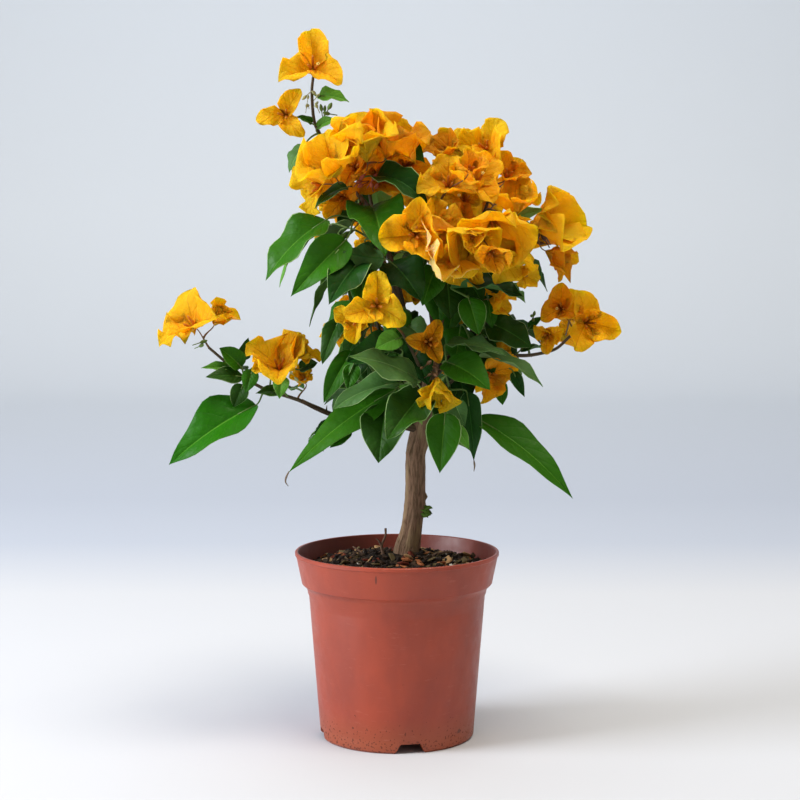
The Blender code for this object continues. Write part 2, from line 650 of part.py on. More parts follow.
class Growth:
    """Grows one mass: it keeps the wood so far, and the shapes that the union joins."""

    def __init__(self, name, mass, finishes, rng):
        self.name = name
        self.mass = mass
        self.finishes = finishes
        self.rng = rng
        self.fences = []  # search trees of the limbs and of the other masses
        self.own = []
        self.shapes = []
        self.springing = {}  # how many twigs each piece of wood carries
        path = stem_path(mass)
        self.wood = self.pieces(path)
        radii = along((STEM_R, TWIG_R), len(path))
        self.keep(lambda bm, swell=0.0: tube(bm, path, [r + swell / 2 for r in radii], 5), "wood")

    def pieces(self, path):
        places = [tuple(place) for place in path]
        return list(zip(places, places[1:]))

    def keep(self, build, finish):
        self.shapes.append((build, finish))
        self.own.append(tree_of(lambda bm: build(bm, CLEAR * 2)))

    def reach_out(self, base, onward, radius):
        """A twig from the best wood near a place, arriving along a direction, or None if none is free."""
        def cost(piece):
            start, end = Vector(piece[0]), Vector(piece[1])
            gap = base - end
            lean = gap.normalized().dot((end - start).normalized()) if gap.length > 0 else 1
            return gap.length * (1.25 - 0.35 * lean)

        for piece in sorted(self.wood, key=cost)[:10]:
            used = self.springing.get(piece, 0)
            if used > 3:
                continue
            start, end = Vector(piece[0]), Vector(piece[1])
            end = end.lerp(start, 0.05 + 0.24 * used)
            length = (base - end).length
            if length < 3:
                continue
            leave = ((end - start).normalized() * 0.5 + (base - end).normalized()).normalized()
            controls = (end, end + leave * length * 0.35, base - onward * length * 0.35, base)
            steps = 1 if length < 6 else 2 if length < 26 else 3
            path = [bezier(controls, step / steps) for step in range(steps + 1)]
            path[0] = end - leave * ROOT
            radii = along((radius + length * 0.008, radius), len(path))
            tree = tree_of(lambda bm: tube(bm, path, [r + CLEAR for r in radii], 3))
            if free(tree, self.fences):
                self.springing[piece] = used + 1
                return path, radii
        return None

    def add(self, thing, settle=True):
        """Puts a leaf or a bloom on, moved a little back or forward where it would touch a neighbour."""
        is_leaf = isinstance(thing, Leaf)
        for shift in (0, 4, -4, 8, -8, 12) if settle else (0,):
            placed = moved(thing, shift)
            if is_leaf:
                shape = leaf_on_stalk
                base = Vector(placed.base)
                onward = (Vector(placed.tip) - base).normalized()
            else:
                shape = bloom_on_stalk
                onward = Vector(placed.looks).normalized()
                base = Vector(placed.at) - onward * HUB
            radius = PETIOLE_R if is_leaf else FLOWER_STALK_R
            stub = ([base - onward, base], [radius, radius])
            tree = tree_of(lambda bm: shape(bm, placed, *stub, CLEAR * 2))
            if not free(tree, self.fences) or not (settle or free(tree, self.own)):
                continue
            stalk = self.reach_out(base, onward, radius)
            if stalk and not folded(lambda bm: shape(bm, placed, *stalk)):
                path, radii = stalk
                self.wood += self.pieces(path)
                self.keep(lambda bm, swell=0.0: shape(bm, placed, path, radii, swell), "leaf" if is_leaf else "bract")
                return True
        if settle:
            print(f"{self.name} has no room for {thing}")
        return False

    def inside(self, thing):
        """Whether a leaf's base and point, or a bloom with its bracts, stay in the mass's own space."""
        if isinstance(thing, Leaf):
            places, margin = (Vector(thing.base), Vector(thing.tip)), 0
        else:
            places, margin = (Vector(thing.at),), thing.length * 0.9
        return all(low + margin <= value <= high - margin for place in places
                   for low, value, high in zip(self.mass.low, place, self.mass.high))

    def fill(self):
        """Leaves and blooms turned by the golden angle round the stem, out to the edge of the mass's space."""
        rng = self.rng
        mass = self.mass
        path = stem_path(mass)
        middle = sum(path, Vector()) / len(path)
        wanted = {Bloom: mass.fill_blooms, Leaf: mass.fill_leaves}
        for tries in range(sum(wanted.values()) * 30):
            height = rng.uniform(-0.95, 0.95)
            turn = tries * GOLDEN_ANGLE
            level = Vector((math.cos(turn), math.sin(turn), 0))
            out = level * math.sqrt(1 - height ** 2) + Vector((0, 0, height))
            share = rng.uniform(0.25, 0.95)
            corner = [high if part > 0 else low for part, low, high in zip(out, mass.low, mass.high)]
            at = Vector(m + (c - m) * abs(part) * share for m, c, part in zip(middle, corner, out))
            if rng.random() < wanted[Bloom] / max(1, sum(wanted.values())):
                looks = out + Vector((0, 0, 0.3))
                thing = Bloom(tuple(at), tuple(looks), rng.uniform(21, 28), rng.uniform(0, 120), rng.uniform(48, 66))
            else:
                length = rng.uniform(34, 54)
                onward = (level * rng.uniform(0.5, 1) + Vector((0, 0, rng.uniform(-1.1, 0.1)))).normalized()
                face = level * rng.uniform(0.5, 1.1) + Vector((0, 0, 0.9))
                width = length * rng.uniform(0.56, 0.68)
                thing = Leaf(tuple(at), tuple(at + onward * length), width, tuple(face), rng.uniform(25, 50))
            if wanted[type(thing)] and self.inside(thing):
                wanted[type(thing)] -= self.add(thing, settle=False)
        if any(wanted.values()):
            print(f"{self.name} had no room for {wanted[Leaf]} more leaves and {wanted[Bloom]} more blooms")

    def union(self, nudge):
        """One Boolean union of every shape, each put out of place by up to the nudge, so that none just touch."""
        group = bpy.data.collections.new(self.name)
        bpy.context.scene.collection.children.link(group)
        for number, (build, finish) in enumerate(self.shapes):
            bm = bmesh.new()
            build(bm)
            step = Vector([self.rng.uniform(-nudge, nudge) * MM for _ in range(3)])
            bmesh.ops.translate(bm, vec=step, verts=bm.verts)
            piece = named_object(f"{self.name}_{number}", bm, self.finishes[finish], smooth=False)
            if number:
                bpy.context.scene.collection.objects.unlink(piece)
                group.objects.link(piece)
            else:
                whole = piece
        fuse = whole.modifiers.new("fuse", "BOOLEAN")
        fuse.operation = "UNION"
        fuse.operand_type = "COLLECTION"
        fuse.collection = group
        fuse.solver = "MANIFOLD"
        fuse.material_mode = "TRANSFER"
        mesh = bpy.data.meshes.new_from_object(whole.evaluated_get(bpy.context.evaluated_depsgraph_get()))
        for piece in list(group.objects) + [whole]:
            bpy.data.objects.remove(piece, do_unlink=True)
        bpy.data.collections.remove(group)
        return mesh

    def join(self):
        """Fuses the mass into one closed solid, nudging its shapes again while any edge joins more than two faces."""
        for attempt in range(8):
            mesh = self.union(0.04 + attempt * 0.03)
            if keep_main_body(mesh):
                break
        else:
            print(f"{self.name} still has an open or doubled edge")
        mesh.name = self.name
        bpy.context.scene.collection.objects.link(bpy.data.objects.new(self.name, mesh))


def bezier(controls, t):
    first, second, third, last = controls
    s = 1 - t
    return first * s ** 3 + second * (3 * s * s * t) + third * (3 * s * t * t) + last * t ** 3


def bodies_of(bm):
    """Groups of faces that hang together by plain edges, the smallest first."""
    bodies, seen = [], set()
    for first in bm.faces:
        if first in seen:
            continue
        seen.add(first)
        body = [first]
        for face in body:
            for edge in face.edges:
                for beside in edge.link_faces if len(edge.link_faces) == 2 else ():
                    if beside not in seen:
                        seen.add(beside)
                        body.append(beside)
        bodies.append(body)
    return sorted(bodies, key=len)


def cut_to_triangles(bm):
    """Cuts every face into triangles, from its middle where a plain cut would share an edge twice."""
    for _ in range(4):
        trial = bm.copy()
        bmesh.ops.triangulate(trial, faces=trial.faces)
        doubled = [{v.index for v in edge.verts} for edge in trial.edges if len(edge.link_faces) > 2]
        trial.free()
        bm.verts.index_update()
        split = [face for face in bm.faces if len(face.verts) > 3 and
                 any(pair.issubset({v.index for v in face.verts}) for pair in doubled)]
        if not split:
            break
        bmesh.ops.poke(bm, faces=split)
    bmesh.ops.triangulate(bm, faces=bm.faces)


def keep_main_body(mesh):
    """Cleans a union, drops its loose scraps and sealed hollows, and says whether every edge is sound."""
    bm = bmesh.new()
    bm.from_mesh(mesh)
    cut_to_triangles(bm)
    bmesh.ops.remove_doubles(bm, verts=bm.verts, dist=WELD * MM)
    bmesh.ops.dissolve_degenerate(bm, dist=WELD * MM, edges=bm.edges)
    cut_to_triangles(bm)
    scraps = [face for body in bodies_of(bm)[:-1] for face in body]
    bmesh.ops.delete(bm, geom=scraps, context="FACES")
    sound = all(edge.is_manifold and edge.calc_length() > WELD * MM for edge in bm.edges)
    bm.to_mesh(mesh)
    bm.free()
    return sound


def make_limb(name, limb, finish):
    bm = bmesh.new()
    tube(bm, [Vector(point) for point in limb.points], limb.radii, limb.sides)
    return named_object(name, bm, finish)


def make_trunk(finish):
    """The trunk from its flat cut at the soil to its fork, with one green bud fused on its side."""
    trunk = make_limb("trunk", TRUNK, finish)
    bm = bmesh.new()
    bmesh.ops.create_icosphere(bm, subdivisions=1, radius=MM)
    bmesh.ops.scale(bm, vec=BUD_SIZE, verts=bm.verts)
    bmesh.ops.translate(bm, vec=Vector(BUD_AT) * MM, verts=bm.verts)
    bud = named_object("bud", bm, finish, smooth=False)
    bud.hide_render = True
    fuse = trunk.modifiers.new("bud", "BOOLEAN")
    fuse.operation = "UNION"
    fuse.object = bud
    return trunk


def limb_tree(limb):
    path = [Vector(point) for point in limb.points]
    return tree_of(lambda bm: tube(bm, path, [r + CLEAR for r in limb.radii], limb.sides))


def main():
    clear_scene()
    plastic = material("terracotta plastic", (0.42, 0.09, 0.05), 0.5)
    earth = material("potting soil", (0.05, 0.03, 0.02), 0.95)
    bark = material("bark", (0.24, 0.16, 0.1), 0.8)
    finishes = {
        "wood": material("green wood", (0.09, 0.1, 0.03), 0.7),
        "leaf": material("leaf", (0.03, 0.12, 0.02), 0.45),
        "bract": material("golden bract", (0.85, 0.33, 0.02), 0.6),
    }
    make_pot(plastic)
    make_soil(earth)
    make_trunk(bark)
    for name, limb in BOUGHS.items():
        make_limb(name, limb, bark)
    fences = [limb_tree(limb) for limb in (TRUNK, *BOUGHS.values())]
    rng = random.Random(SEED)
    growths = [Growth(f"foliage_{name}", mass, finishes, rng) for name, mass in MASSES.items()]
    for filling in (False, True):
        for growth in growths:
            growth.fences = fences + [tree for other in growths if other is not growth for tree in other.own]
            if filling:
                growth.fill()
            for thing in () if filling else growth.mass.blooms + growth.mass.leaves:
                growth.add(thing)
    for growth in growths:
        growth.join()


if __name__ == "__main__":
    main()
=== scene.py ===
"""The looks of a golden bougainvillea bush in a round plastic nursery pot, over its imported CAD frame.

The pot, the soil, the bark and the whole crown are made again as fine meshes that stand for the CAD nodes.
The crown grows by the source's own rule, written again here, so that every leaf and bloom sits where its
solid does; each is then carried to a fine blade, bract, flower tube, stalk, bud or thorn. Sizes are in
millimetres and are turned to metres where a vertex is placed. +Z is up and the front looks along -Y.
"""

import logging
import math
import random
from collections.abc import Callable, Iterator, Sequence
from dataclasses import dataclass, field, replace
from enum import Enum
from functools import partial

import bmesh
import bpy
from mathutils import Matrix, Vector, noise
from mathutils.bvhtree import BVHTree


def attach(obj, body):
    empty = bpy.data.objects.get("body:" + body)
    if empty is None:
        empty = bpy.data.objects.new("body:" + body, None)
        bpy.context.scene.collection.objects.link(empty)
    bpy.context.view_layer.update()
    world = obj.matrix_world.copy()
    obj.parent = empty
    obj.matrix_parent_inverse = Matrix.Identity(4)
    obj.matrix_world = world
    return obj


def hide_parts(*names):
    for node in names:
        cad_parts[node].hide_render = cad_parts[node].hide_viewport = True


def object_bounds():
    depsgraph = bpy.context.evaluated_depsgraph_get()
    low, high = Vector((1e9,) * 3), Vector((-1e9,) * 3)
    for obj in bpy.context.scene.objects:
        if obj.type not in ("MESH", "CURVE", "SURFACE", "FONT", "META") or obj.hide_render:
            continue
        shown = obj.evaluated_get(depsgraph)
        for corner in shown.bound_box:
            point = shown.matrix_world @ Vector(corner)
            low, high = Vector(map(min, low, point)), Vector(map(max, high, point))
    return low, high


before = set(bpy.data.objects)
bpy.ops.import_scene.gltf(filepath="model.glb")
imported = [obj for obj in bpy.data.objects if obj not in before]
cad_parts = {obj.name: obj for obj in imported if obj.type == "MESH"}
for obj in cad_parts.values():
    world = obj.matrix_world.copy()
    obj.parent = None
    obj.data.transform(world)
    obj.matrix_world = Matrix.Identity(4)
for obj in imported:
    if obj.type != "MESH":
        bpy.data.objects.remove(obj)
cad_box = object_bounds()

logging.basicConfig(level=logging.INFO, format="%(message)s")
log = logging.getLogger("bougainvillea")

BMesh = bmesh.types.BMesh
Material = bpy.types.Material
Socket = bpy.types.NodeSocket
Point = tuple[float, float, float]
Path = list[Vector]
Loop = list[bmesh.types.BMVert]
Build = Callable[[BMesh], None]
Add = Callable[..., Socket]

MM = 0.001
GAP = 0.3  # between neighbours that touch in life
MERGE = 0.01  # vertices that are closer than this are one
SEED = 27
DETAIL_SEED = 5
GOLDEN_ANGLE = math.radians(137.5)
BAKE_MAP = "OFBake"  # the UV map that gives every blade a cell of its own
BLADE = "blade"  # the attribute that holds a place on a blade: across, along, and its own number
GRAIN = "grain"  # the attribute that runs with the wood: across, across, along

FRONT_VIEW = (0, -1373, 377)  # the crown keeps its outline as seen from here

# Directions
UP = (0, 0, 1)
FRONT = (0, -1, 0)
FRONT_UP = (0, -1, 0.8)
LEFT_FRONT = (-0.7, -0.8, 0.3)

# Growth rule
ROOT = 1.0  # how deep a twig starts inside the wood it springs from
CLEAR = 0.5  # kept by a leaf or twig to what isn't its own mass
BLADE_THICK = 1 / 60  # of a plain blade's length
BLADE_THICK_LEAST = 0.9
LONG_LEAF = 44.0
BRACT_WIDTH = 0.82  # of a plain bract's length
BRACT_CROWD = 1.2  # the half-width that a bract may have, of its distance from its bloom's axis
STEM_R = 1.5
TWIG_R = 1.0
PETIOLE_R = 0.9
FLOWER_STALK_R = 1.0
HUB = 1.2  # half the length of the hub that the three plain bracts spring from
NEAREST = 10  # pieces of wood that a twig may choose from
TWIGS_EACH = 4  # that may spring from one piece
SHIFTS = (0, 4, -4, 8, -8, 12)  # how far back a leaf or bloom may move to find room
FILL_TRIES = 30  # for each leaf or bloom that is wanted
THICKEN_TRIES = 9
AMONG = 60.0  # that far ahead of the grown blooms a small one may stand

# Fine blades
LEAF_RIB = 0.32  # how deep the midrib is sunk
BRACT_RIB = 0.3
BACK_ROOM = 7.5  # that far past the solids a blade may reach at the back


@dataclass(frozen=True)
class Leaf:
    """One leaf: where its blade starts, its point, its width, and where its upper side looks."""

    base: tuple
    tip: tuple
    width: float
    face: tuple = FRONT_UP
    bend: float = 35.0


@dataclass(frozen=True)
class Bloom:
    """Three bracts round one eye: its place, where it looks, bract length, turn and opening in degrees."""

    at: tuple
    looks: tuple
    length: float
    spin: float = 0.0
    spread: float = 55.0
    bend: float = 30.0


@dataclass(frozen=True)
class Limb:
    """A tapering limb through its points, with the radius at each of them."""

    points: tuple
    radii: tuple
    sides: int = 6


@dataclass(frozen=True)
class Mass:
    """One mass of foliage: the bough it ends, its stem beyond that, its leaves and blooms, and its space."""

    stem: tuple
    bough: str = ""  # or none, where the stem springs from the side of the trunk
    leaves: tuple = ()
    blooms: tuple = ()
    fill_leaves: int = 0
    fill_blooms: int = 0
    low: tuple = (0, 0, 0)  # corners of the space that filling keeps to
    high: tuple = (0, 0, 0)
    inner: tuple = ()  # shaded leaves and blooms that close the crown round the forks, and have no solid
    small: tuple = (0, 0)  # small leaves and blooms beside the others, at most, which have no solid either


TRUNK = Limb(
    points=((8, 12, 133.8), (8, 12, 137), (9.6, 11.4, 146), (11.4, 10.5, 158), (13.2, 10, 172),
            (13.6, 9, 190), (13.9, 9, 208), (17, 9, 226), (21.5, 8, 252), (26, 7, 284)),
    radii=(10.6, 9.6, 8.3, 7.7, 7.5, 7.3, 7.3, 6.9, 6.3, 5.3),
    sides=10,
)
BUD_AT = (21.8, 8, 164.5)

BOUGHS = {
    "bough_upper_right": Limb(
        ((26.05, 6.99, 284.4), (26.5, 6.9, 288), (31, 4, 312), (37, 1, 332), (43, -1, 347)),
        (4.9, 4.8, 4.2, 3.4, 2.6)),
    "bough_upper_left": Limb(((13.9, 6.5, 264), (9.5, 5, 288), (5, 3, 312), (-4, 0, 348), (-17, -1, 386)),
                             (2.9, 2.7, 2.5, 2.2, 1.9)),
    "bough_top": Limb(((-20.5, 1.5, 389), (-29, 3, 398), (-40, 3, 407), (-48, 1, 416)),
                      (1.7, 1.6, 1.5, 1.3)),
    "bough_mid_left": Limb(((18.9, 1.2, 274), (9, -7, 300), (-3, -12, 332), (-14, -15, 360)),
                           (2.6, 2.3, 2.1, 1.8)),
    "bough_low_left": Limb(((10.6, 5.3, 227.3), (-8, -2, 231), (-42, -9, 237), (-69, -16, 249)),
                           (2.4, 2.2, 1.9, 1.5)),
    "bough_low_right": Limb(((30.2, 8.2, 256), (45, 10, 264), (66, 12, 273), (84, 12, 279)),
                            (2.4, 2.2, 1.8, 1.4)),
    "bough_back_upper": Limb(((28, 14.1, 284), (27, 26, 305), (22, 38, 335), (18, 44, 358)),
                             (3.2, 2.8, 2.4, 2.0)),
    "bough_back_left": Limb(((15.9, 15.6, 246), (6, 28, 262), (-4, 42, 276), (-10, 52, 288)),
                            (2.6, 2.3, 2.0, 1.7)),
    "bough_back_right": Limb(((24.3, 15.6, 262), (38, 28, 276), (50, 40, 288), (58, 48, 298)),
                             (2.6, 2.3, 2.0, 1.7)),
}

MASSES = {
    "top_sprig": Mass(
        bough="bough_top",
        stem=((-54, -1, 437), (-59.5, -3, 450), (-61, -4, 470), (-60, -5, 481)),
        blooms=(
            Bloom((-60, -6, 487), (0, -0.8, 0.5), 28, 0, 76),
            Bloom((-80, -8, 454), (-0.1, -1, 0.1), 22, -30, 74),
        ),
        leaves=(
            Leaf((-56, -6, 467), (-34, -10, 463), 13, FRONT_UP, 60),
            Leaf((-57, -6, 445), (-44, -11, 451), 11),
            Leaf((-61, -6, 448), (-71, -10, 453), 8),
            Leaf((-66, -7, 433), (-77, -16, 413), 19, LEFT_FRONT),
        ),
    ),
    "upper_left": Mass(
        bough="bough_upper_left",
        stem=((-20, -2, 400), (-20, -3, 414)),
        blooms=(
            Bloom((-43, -36, 409), (-0.35, -0.7, 0.8), 35, 25, 50),
            Bloom((-21, -32, 420), (-0.1, -0.5, 1), 38, 0, 38),
            Bloom((-8, -22, 423), (0.4, -0.5, 0.9), 36, 10, 46),
            Bloom((-54, -24, 404), (-0.8, -0.7, -0.2), 25, 40, 62),
            Bloom((-12, 6, 402), (0.4, -0.6, 0.5), 24, 60, 55),
            Bloom((-30, 22, 424), (-0.4, 0.6, 0.8), 30, 30, 50),
            Bloom((2, 20, 424), (0.3, 0.6, 0.8), 30, 0, 50),
            Bloom((-46, 14, 398), (-0.9, 0.4, 0.2), 26, 0, 55),
        ),
        leaves=(
            Leaf((-15, -30, 409), (21, -44, 389), 27, (0.2, -0.9, 0.7), 95),
            Leaf((1, -20, 431), (20, -30, 419), 18, (0.2, -0.7, 0.7), 60),
            Leaf((-35, -30, 402), (-58, -38, 387), 16, (-0.4, -0.6, 0.8), 60),
        ),
        fill_leaves=3,
        low=(-58, -20, 340),
        high=(12, 38, 415),
        inner=(
            Bloom((-14, -8, 411), (0.1, -1, 0.15), 25, 10, 62),
            Bloom((-38, -8, 396), (-0.3, -1, 0), 22, 40, 60),
            Bloom((5, -4, 417), (0.3, -1, 0.1), 23, 0, 60),
            Bloom((-30, -14, 416), (-0.1, -1, 0.3), 22, 30, 55),
        ),
        small=(14, 9),
    ),
    "left": Mass(
        bough="bough_mid_left",
        stem=((-18, -17, 368), (-20, -20, 374)),
        leaves=(
            Leaf((-50, -34, 379), (-92, -48, 337), 36, (-0.5, -0.7, 0.7), 40),
            Leaf((-36, -44, 365), (-74, -58, 326), 31, (0, -1, 0.3), 30),
            Leaf((-26, -42, 350), (-47, -72, 321), 33, (0.1, -0.6, 0.8), 40),
            Leaf((-23, -22, 349), (-26, -30, 328), 22, (0, -1, 0.3)),
            Leaf((-18, -20, 389), (-8, -66, 354), 44, (0, -0.6, 0.8), 50),
            Leaf((-9, -40, 352), (-38, -48, 357), 20, (0, 0.8, -0.4), 30),
            Leaf((-4, -24, 349), (17, -46, 323), 36, (0.1, -0.8, 0.6), 40),
        ),
        fill_leaves=6,
        low=(-85, -25, 298),
        high=(-2, 42, 385),
        small=(18, 0),
    ),
    "right": Mass(
        bough="bough_upper_right",
        stem=((53, -5, 366), (64, -8, 388), (68, -6, 408)),
        blooms=(
            Bloom((64, -10, 430), (-0.2, -0.8, 0.4), 25, -30, 68),
            Bloom((36, -16, 424), (-0.3, -0.6, 0.8), 20, 0, 50),
            Bloom((36, -40, 402), (0, -0.8, 0.6), 26, 0, 62),
            Bloom((56, -34, 404), (0.2, -0.8, 0.5), 26, -40, 62),
            Bloom((78, -14, 409), (0.2, -0.7, 0.6), 20, 20, 50),
            Bloom((84, -28, 382), (-0.1, -0.6, 1), 31, 10, 44),
            Bloom((100, -16, 371), (1, -0.6, 0.5), 38, 30, 46),
            Bloom((107, -10, 357), (0.9, -0.4, -0.4), 25, 60, 40),
            Bloom((86, -26, 342), (0.9, -0.6, -0.2), 18, 0, 50),
            Bloom((13, -62, 369), (-0.1, -1, 0.1), 27, -20, 68),
            Bloom((26, -54, 372), (0.3, -0.8, 0.6), 24, 0, 56),
            Bloom((24, -60, 350), (0.6, -0.8, 0.5), 34, 25, 52),
            Bloom((50, -58, 374), (0.05, -0.8, -0.6), 37, 180, 46),
            Bloom((66, -50, 380), (0.2, -0.8, -0.6), 38, 170, 46),
            Bloom((76, -40, 360), (0.2, -0.6, -0.9), 26, 60, 44),
            Bloom((48, -38, 350), (0, -0.5, -0.9), 20, 0, 50),
            Bloom((48, -14, 392), (0, -1, 0.3), 26, 60, 70),
            Bloom((52, 22, 420), (0, 0.7, 0.8), 28, 0, 52),
            Bloom((80, 20, 398), (0.6, 0.7, 0.5), 28, 40, 52),
            Bloom((98, 14, 372), (0.8, 0.6, 0.1), 26, 0, 55),
            Bloom((62, 28, 386), (0.1, 1, 0.2), 26, 20, 65),
        ),
        fill_leaves=4,
        low=(6, -35, 315),
        high=(112, 45, 415),
        inner=(
            Leaf((28, -12, 345), (18, -24, 318), 26, (0, -0.9, 0.5)),
            Leaf((36, -8, 338), (38, -22, 308), 27, (0.1, -1, 0.4)),
            Leaf((46, -8, 344), (62, -18, 318), 26, (0.2, -0.9, 0.5)),
            Leaf((30, 6, 336), (30, -2, 304), 28, (0, -1, 0.3)),
            Leaf((50, 4, 336), (52, -6, 304), 28, (0.1, -1, 0.3)),
            Leaf((60, 0, 344), (78, -8, 322), 26, (0.3, -0.8, 0.6)),
        ),
        small=(26, 24),
    ),
    "centre": Mass(
        stem=((20.9, 1.0, 262), (18, -18, 270), (12, -38, 284), (4, -50, 300)),
        blooms=(
            Bloom((-14, -64, 320), (0, -1, 0.2), 25, 0, 68),
            Bloom((-28, -58, 310), (-0.4, -1, -0.1), 18, 60, 62),
            Bloom((22, -52, 294), (0.1, -1, 0.1), 18, -35, 66),
            Bloom((28, -62, 270), (0.05, -0.55, -0.85), 25, 30, 34),
        ),
        leaves=(
            Leaf((6, -30, 306), (24, -40, 290), 22, (0, -0.8, 0.5)),
            Leaf((2, -40, 296), (-16, -46, 288), 20, (0, -0.7, 0.6)),
        ),
        inner=(
            Leaf((18, -24, 300), (34, -34, 276), 24, (0, -0.9, 0.5)),
            Leaf((10, -22, 292), (22, -34, 262), 26, (0, -1, 0.4)),
            Leaf((4, -20, 316), (-8, -34, 294), 22, (0, -0.9, 0.5)),
        ),
        small=(10, 3),
    ),
    "low_left": Mass(
        stem=((14.4, 3.5, 246), (6, -14, 254), (-4, -30, 262), (-16, -32, 270)),
        leaves=(
            Leaf((15, -50, 267), (-33, -78, 286), 30, (-0.1, -0.7, 0.8), 35),
            Leaf((1, -38, 288), (-35, -60, 280), 29, (0, -0.6, 0.8), 35),
            Leaf((-40, -30, 310), (-53, -36, 277), 17, (-0.4, -1, 0.2)),
            Leaf((-32, -30, 286), (-52, -40, 250), 19, (-0.2, -1, 0.3)),
            Leaf((-31, -38, 277), (-35, -42, 258), 14, FRONT),
            Leaf((1, -42, 264), (-45, -54, 247), 24, (-0.2, -0.6, 0.8), 45),
            Leaf((0, -30, 259), (-76, -62, 203), 30, (-0.4, -0.7, 0.6), 30),
            Leaf((17, -50, 256), (-7, -76, 228), 34, (0, -0.9, 0.5), 30),
            Leaf((-8, -42, 248), (-13, -64, 210), 35, (0, -0.9, 0.4), 30),
            Leaf((-44, -22, 236), (-60, -26, 226), 9),
            Leaf((-33, -28, 229), (-48, -32, 217), 11),
        ),
        fill_leaves=4,
        low=(-54, -45, 225),
        high=(18, 30, 318),
        inner=(
            Leaf((-4, -18, 286), (-20, -28, 262), 24, (-0.1, -0.9, 0.5)),
            Leaf((2, -14, 262), (-6, -26, 236), 24, (0, -1, 0.3)),
        ),
        small=(18, 0),
    ),
    "low_right": Mass(
        stem=((25.7, 2.1, 250), (38, -14, 262), (52, -20, 276), (58, -16, 296)),
        blooms=(
            Bloom((64, -10, 270), (0.5, -0.7, -0.3), 25, 50, 52),
            Bloom((67, -8, 322), (0.9, -0.4, -0.2), 18, 0, 50),
        ),
        leaves=(
            Leaf((34, -46, 243), (30, -58, 202), 29, (0, -1, 0.2), 25),
            Leaf((40, -42, 252), (48, -48, 234), 15, FRONT),
            Leaf((42, -46, 235), (51, -46, 218), 9, FRONT),
            Leaf((50, -26, 256), (55, -32, 207), 18, (0.2, -1, 0.1)),
            Leaf((35, -36, 279), (65, -58, 261), 30, (0.1, -0.8, 0.7), 40),
            Leaf((36, -30, 291), (77, -42, 284), 26, (0, -0.3, 1), 30),
            Leaf((59, -24, 282), (104, -34, 261), 22, (0.2, -0.3, 1), 45),
            Leaf((66, 4, 305), (98, -6, 287), 30, (0.2, -0.8, 0.6)),
            Leaf((84, -14, 270), (92, -18, 252), 10, FRONT),
            Leaf((51, -22, 324), (58, -36, 298), 21, (0, -1, 0.4), 25),
            Leaf((39, -22, 331), (90, -34, 325), 36, (0, -0.25, 1), 30),
            Leaf((73, 2, 262), (77, -4, 245), 13, (0.3, -1, 0.2)),
            Leaf((57, -20, 237), (125, -44, 182), 29, (0.4, -0.8, 0.6), 40),
            Leaf((65, 0, 325), (69, -4, 301), 16, (0.2, -1, 0.2)),
        ),
        inner=(
            Leaf((46, -8, 302), (42, -20, 276), 25, (0, -1, 0.4)),
            Leaf((54, -2, 290), (70, -14, 268), 25, (0.2, -0.8, 0.6)),
            Leaf((44, -4, 272), (50, -16, 244), 24, (0.1, -1, 0.3)),
            Leaf((34, -10, 262), (28, -24, 236), 24, (0, -1, 0.4)),
        ),
        small=(22, 3),
    ),
    "left_sprig": Mass(
        bough="bough_low_left",
        stem=((-80, -18, 253), (-95, -19, 258), (-110.5, -20, 267), (-124, -20, 278.5), (-135, -20, 288)),
        blooms=(
            Bloom((-144, -20, 302), (-0.5, -0.7, 0.6), 31, 30, 56),
            Bloom((-131, -20, 304), (0.6, -0.5, 0.9), 20, 0, 40),
            Bloom((-84, -26, 272), (0, -0.7, 0.8), 31, 60, 52),
            Bloom((-72, -18, 281), (0.5, -0.6, 0.7), 19, 0, 55),
            Bloom((-66, -14, 262), (-0.3, -0.6, 0.8), 14, 0, 45),
        ),
        leaves=(
            Leaf((-101, -24, 247), (-162, -42, 206), 41, (-0.3, -0.8, 0.6), 30),
            Leaf((-112, -20, 274), (-127, -24, 288), 17),
            Leaf((-110, -16, 279), (-107, -14, 295), 10),
            Leaf((-120, -20, 273), (-140, -28, 274), 9),
            Leaf((-111, -22, 267), (-136, -34, 268), 14),
            Leaf((-110, -27, 262), (-117, -28, 246), 15, FRONT),
            Leaf((-103, -29, 273), (-108, -32, 256), 13, FRONT),
            Leaf((-82, -28, 268), (-84, -32, 252), 14, FRONT),
            Leaf((-84, -24, 257), (-101, -30, 256), 11),
            Leaf((-70, -16, 272), (-57, -18, 277), 13),
            Leaf((-92, -10, 266), (-100, 8, 276), 18, (-0.3, 0.6, 0.8)),
            Leaf((-76, -8, 258), (-78, 14, 254), 20, (0, 0.6, 0.8)),
            Leaf((-112, -14, 272), (-122, 4, 274), 16, (0, 0.6, 0.8)),
        ),
        small=(5, 3),
    ),
    "right_sprig": Mass(
        bough="bough_low_right",
        stem=((97, 14, 280), (109, 16, 282), (118, 18, 285), (126, 20, 292), (132, 19, 298)),
        blooms=(
            Bloom((139, 14, 304), (0.2, -1, 0.1), 27, 20, 66),
            Bloom((121, 17, 314), (-0.2, -0.9, 0.3), 20, 0, 60),
            Bloom((111, 13, 296), (-0.2, -1, -0.4), 16, 50, 56),
            Bloom((128, 28, 306), (0.2, 0.9, 0.5), 22, 20, 60),
        ),
        leaves=(
            Leaf((91, 11, 284), (101, 7, 288), 9),
            Leaf((97, 14, 300), (107, 10, 309), 8),
            Leaf((98, 20, 284), (110, 34, 284), 16, UP),
        ),
        small=(3, 4),
    ),
    "back_upper": Mass(
        bough="bough_back_upper",
        stem=((16, 49, 370), (18, 52, 384), (22, 50, 396)),
        fill_leaves=15,
        fill_blooms=8,
        low=(-48, 12, 318),
        high=(82, 112, 428),
        small=(22, 12),
    ),
    "back_left": Mass(
        bough="bough_back_left",
        stem=((-14, 57, 298), (-16, 56, 310)),
        fill_leaves=15,
        fill_blooms=4,
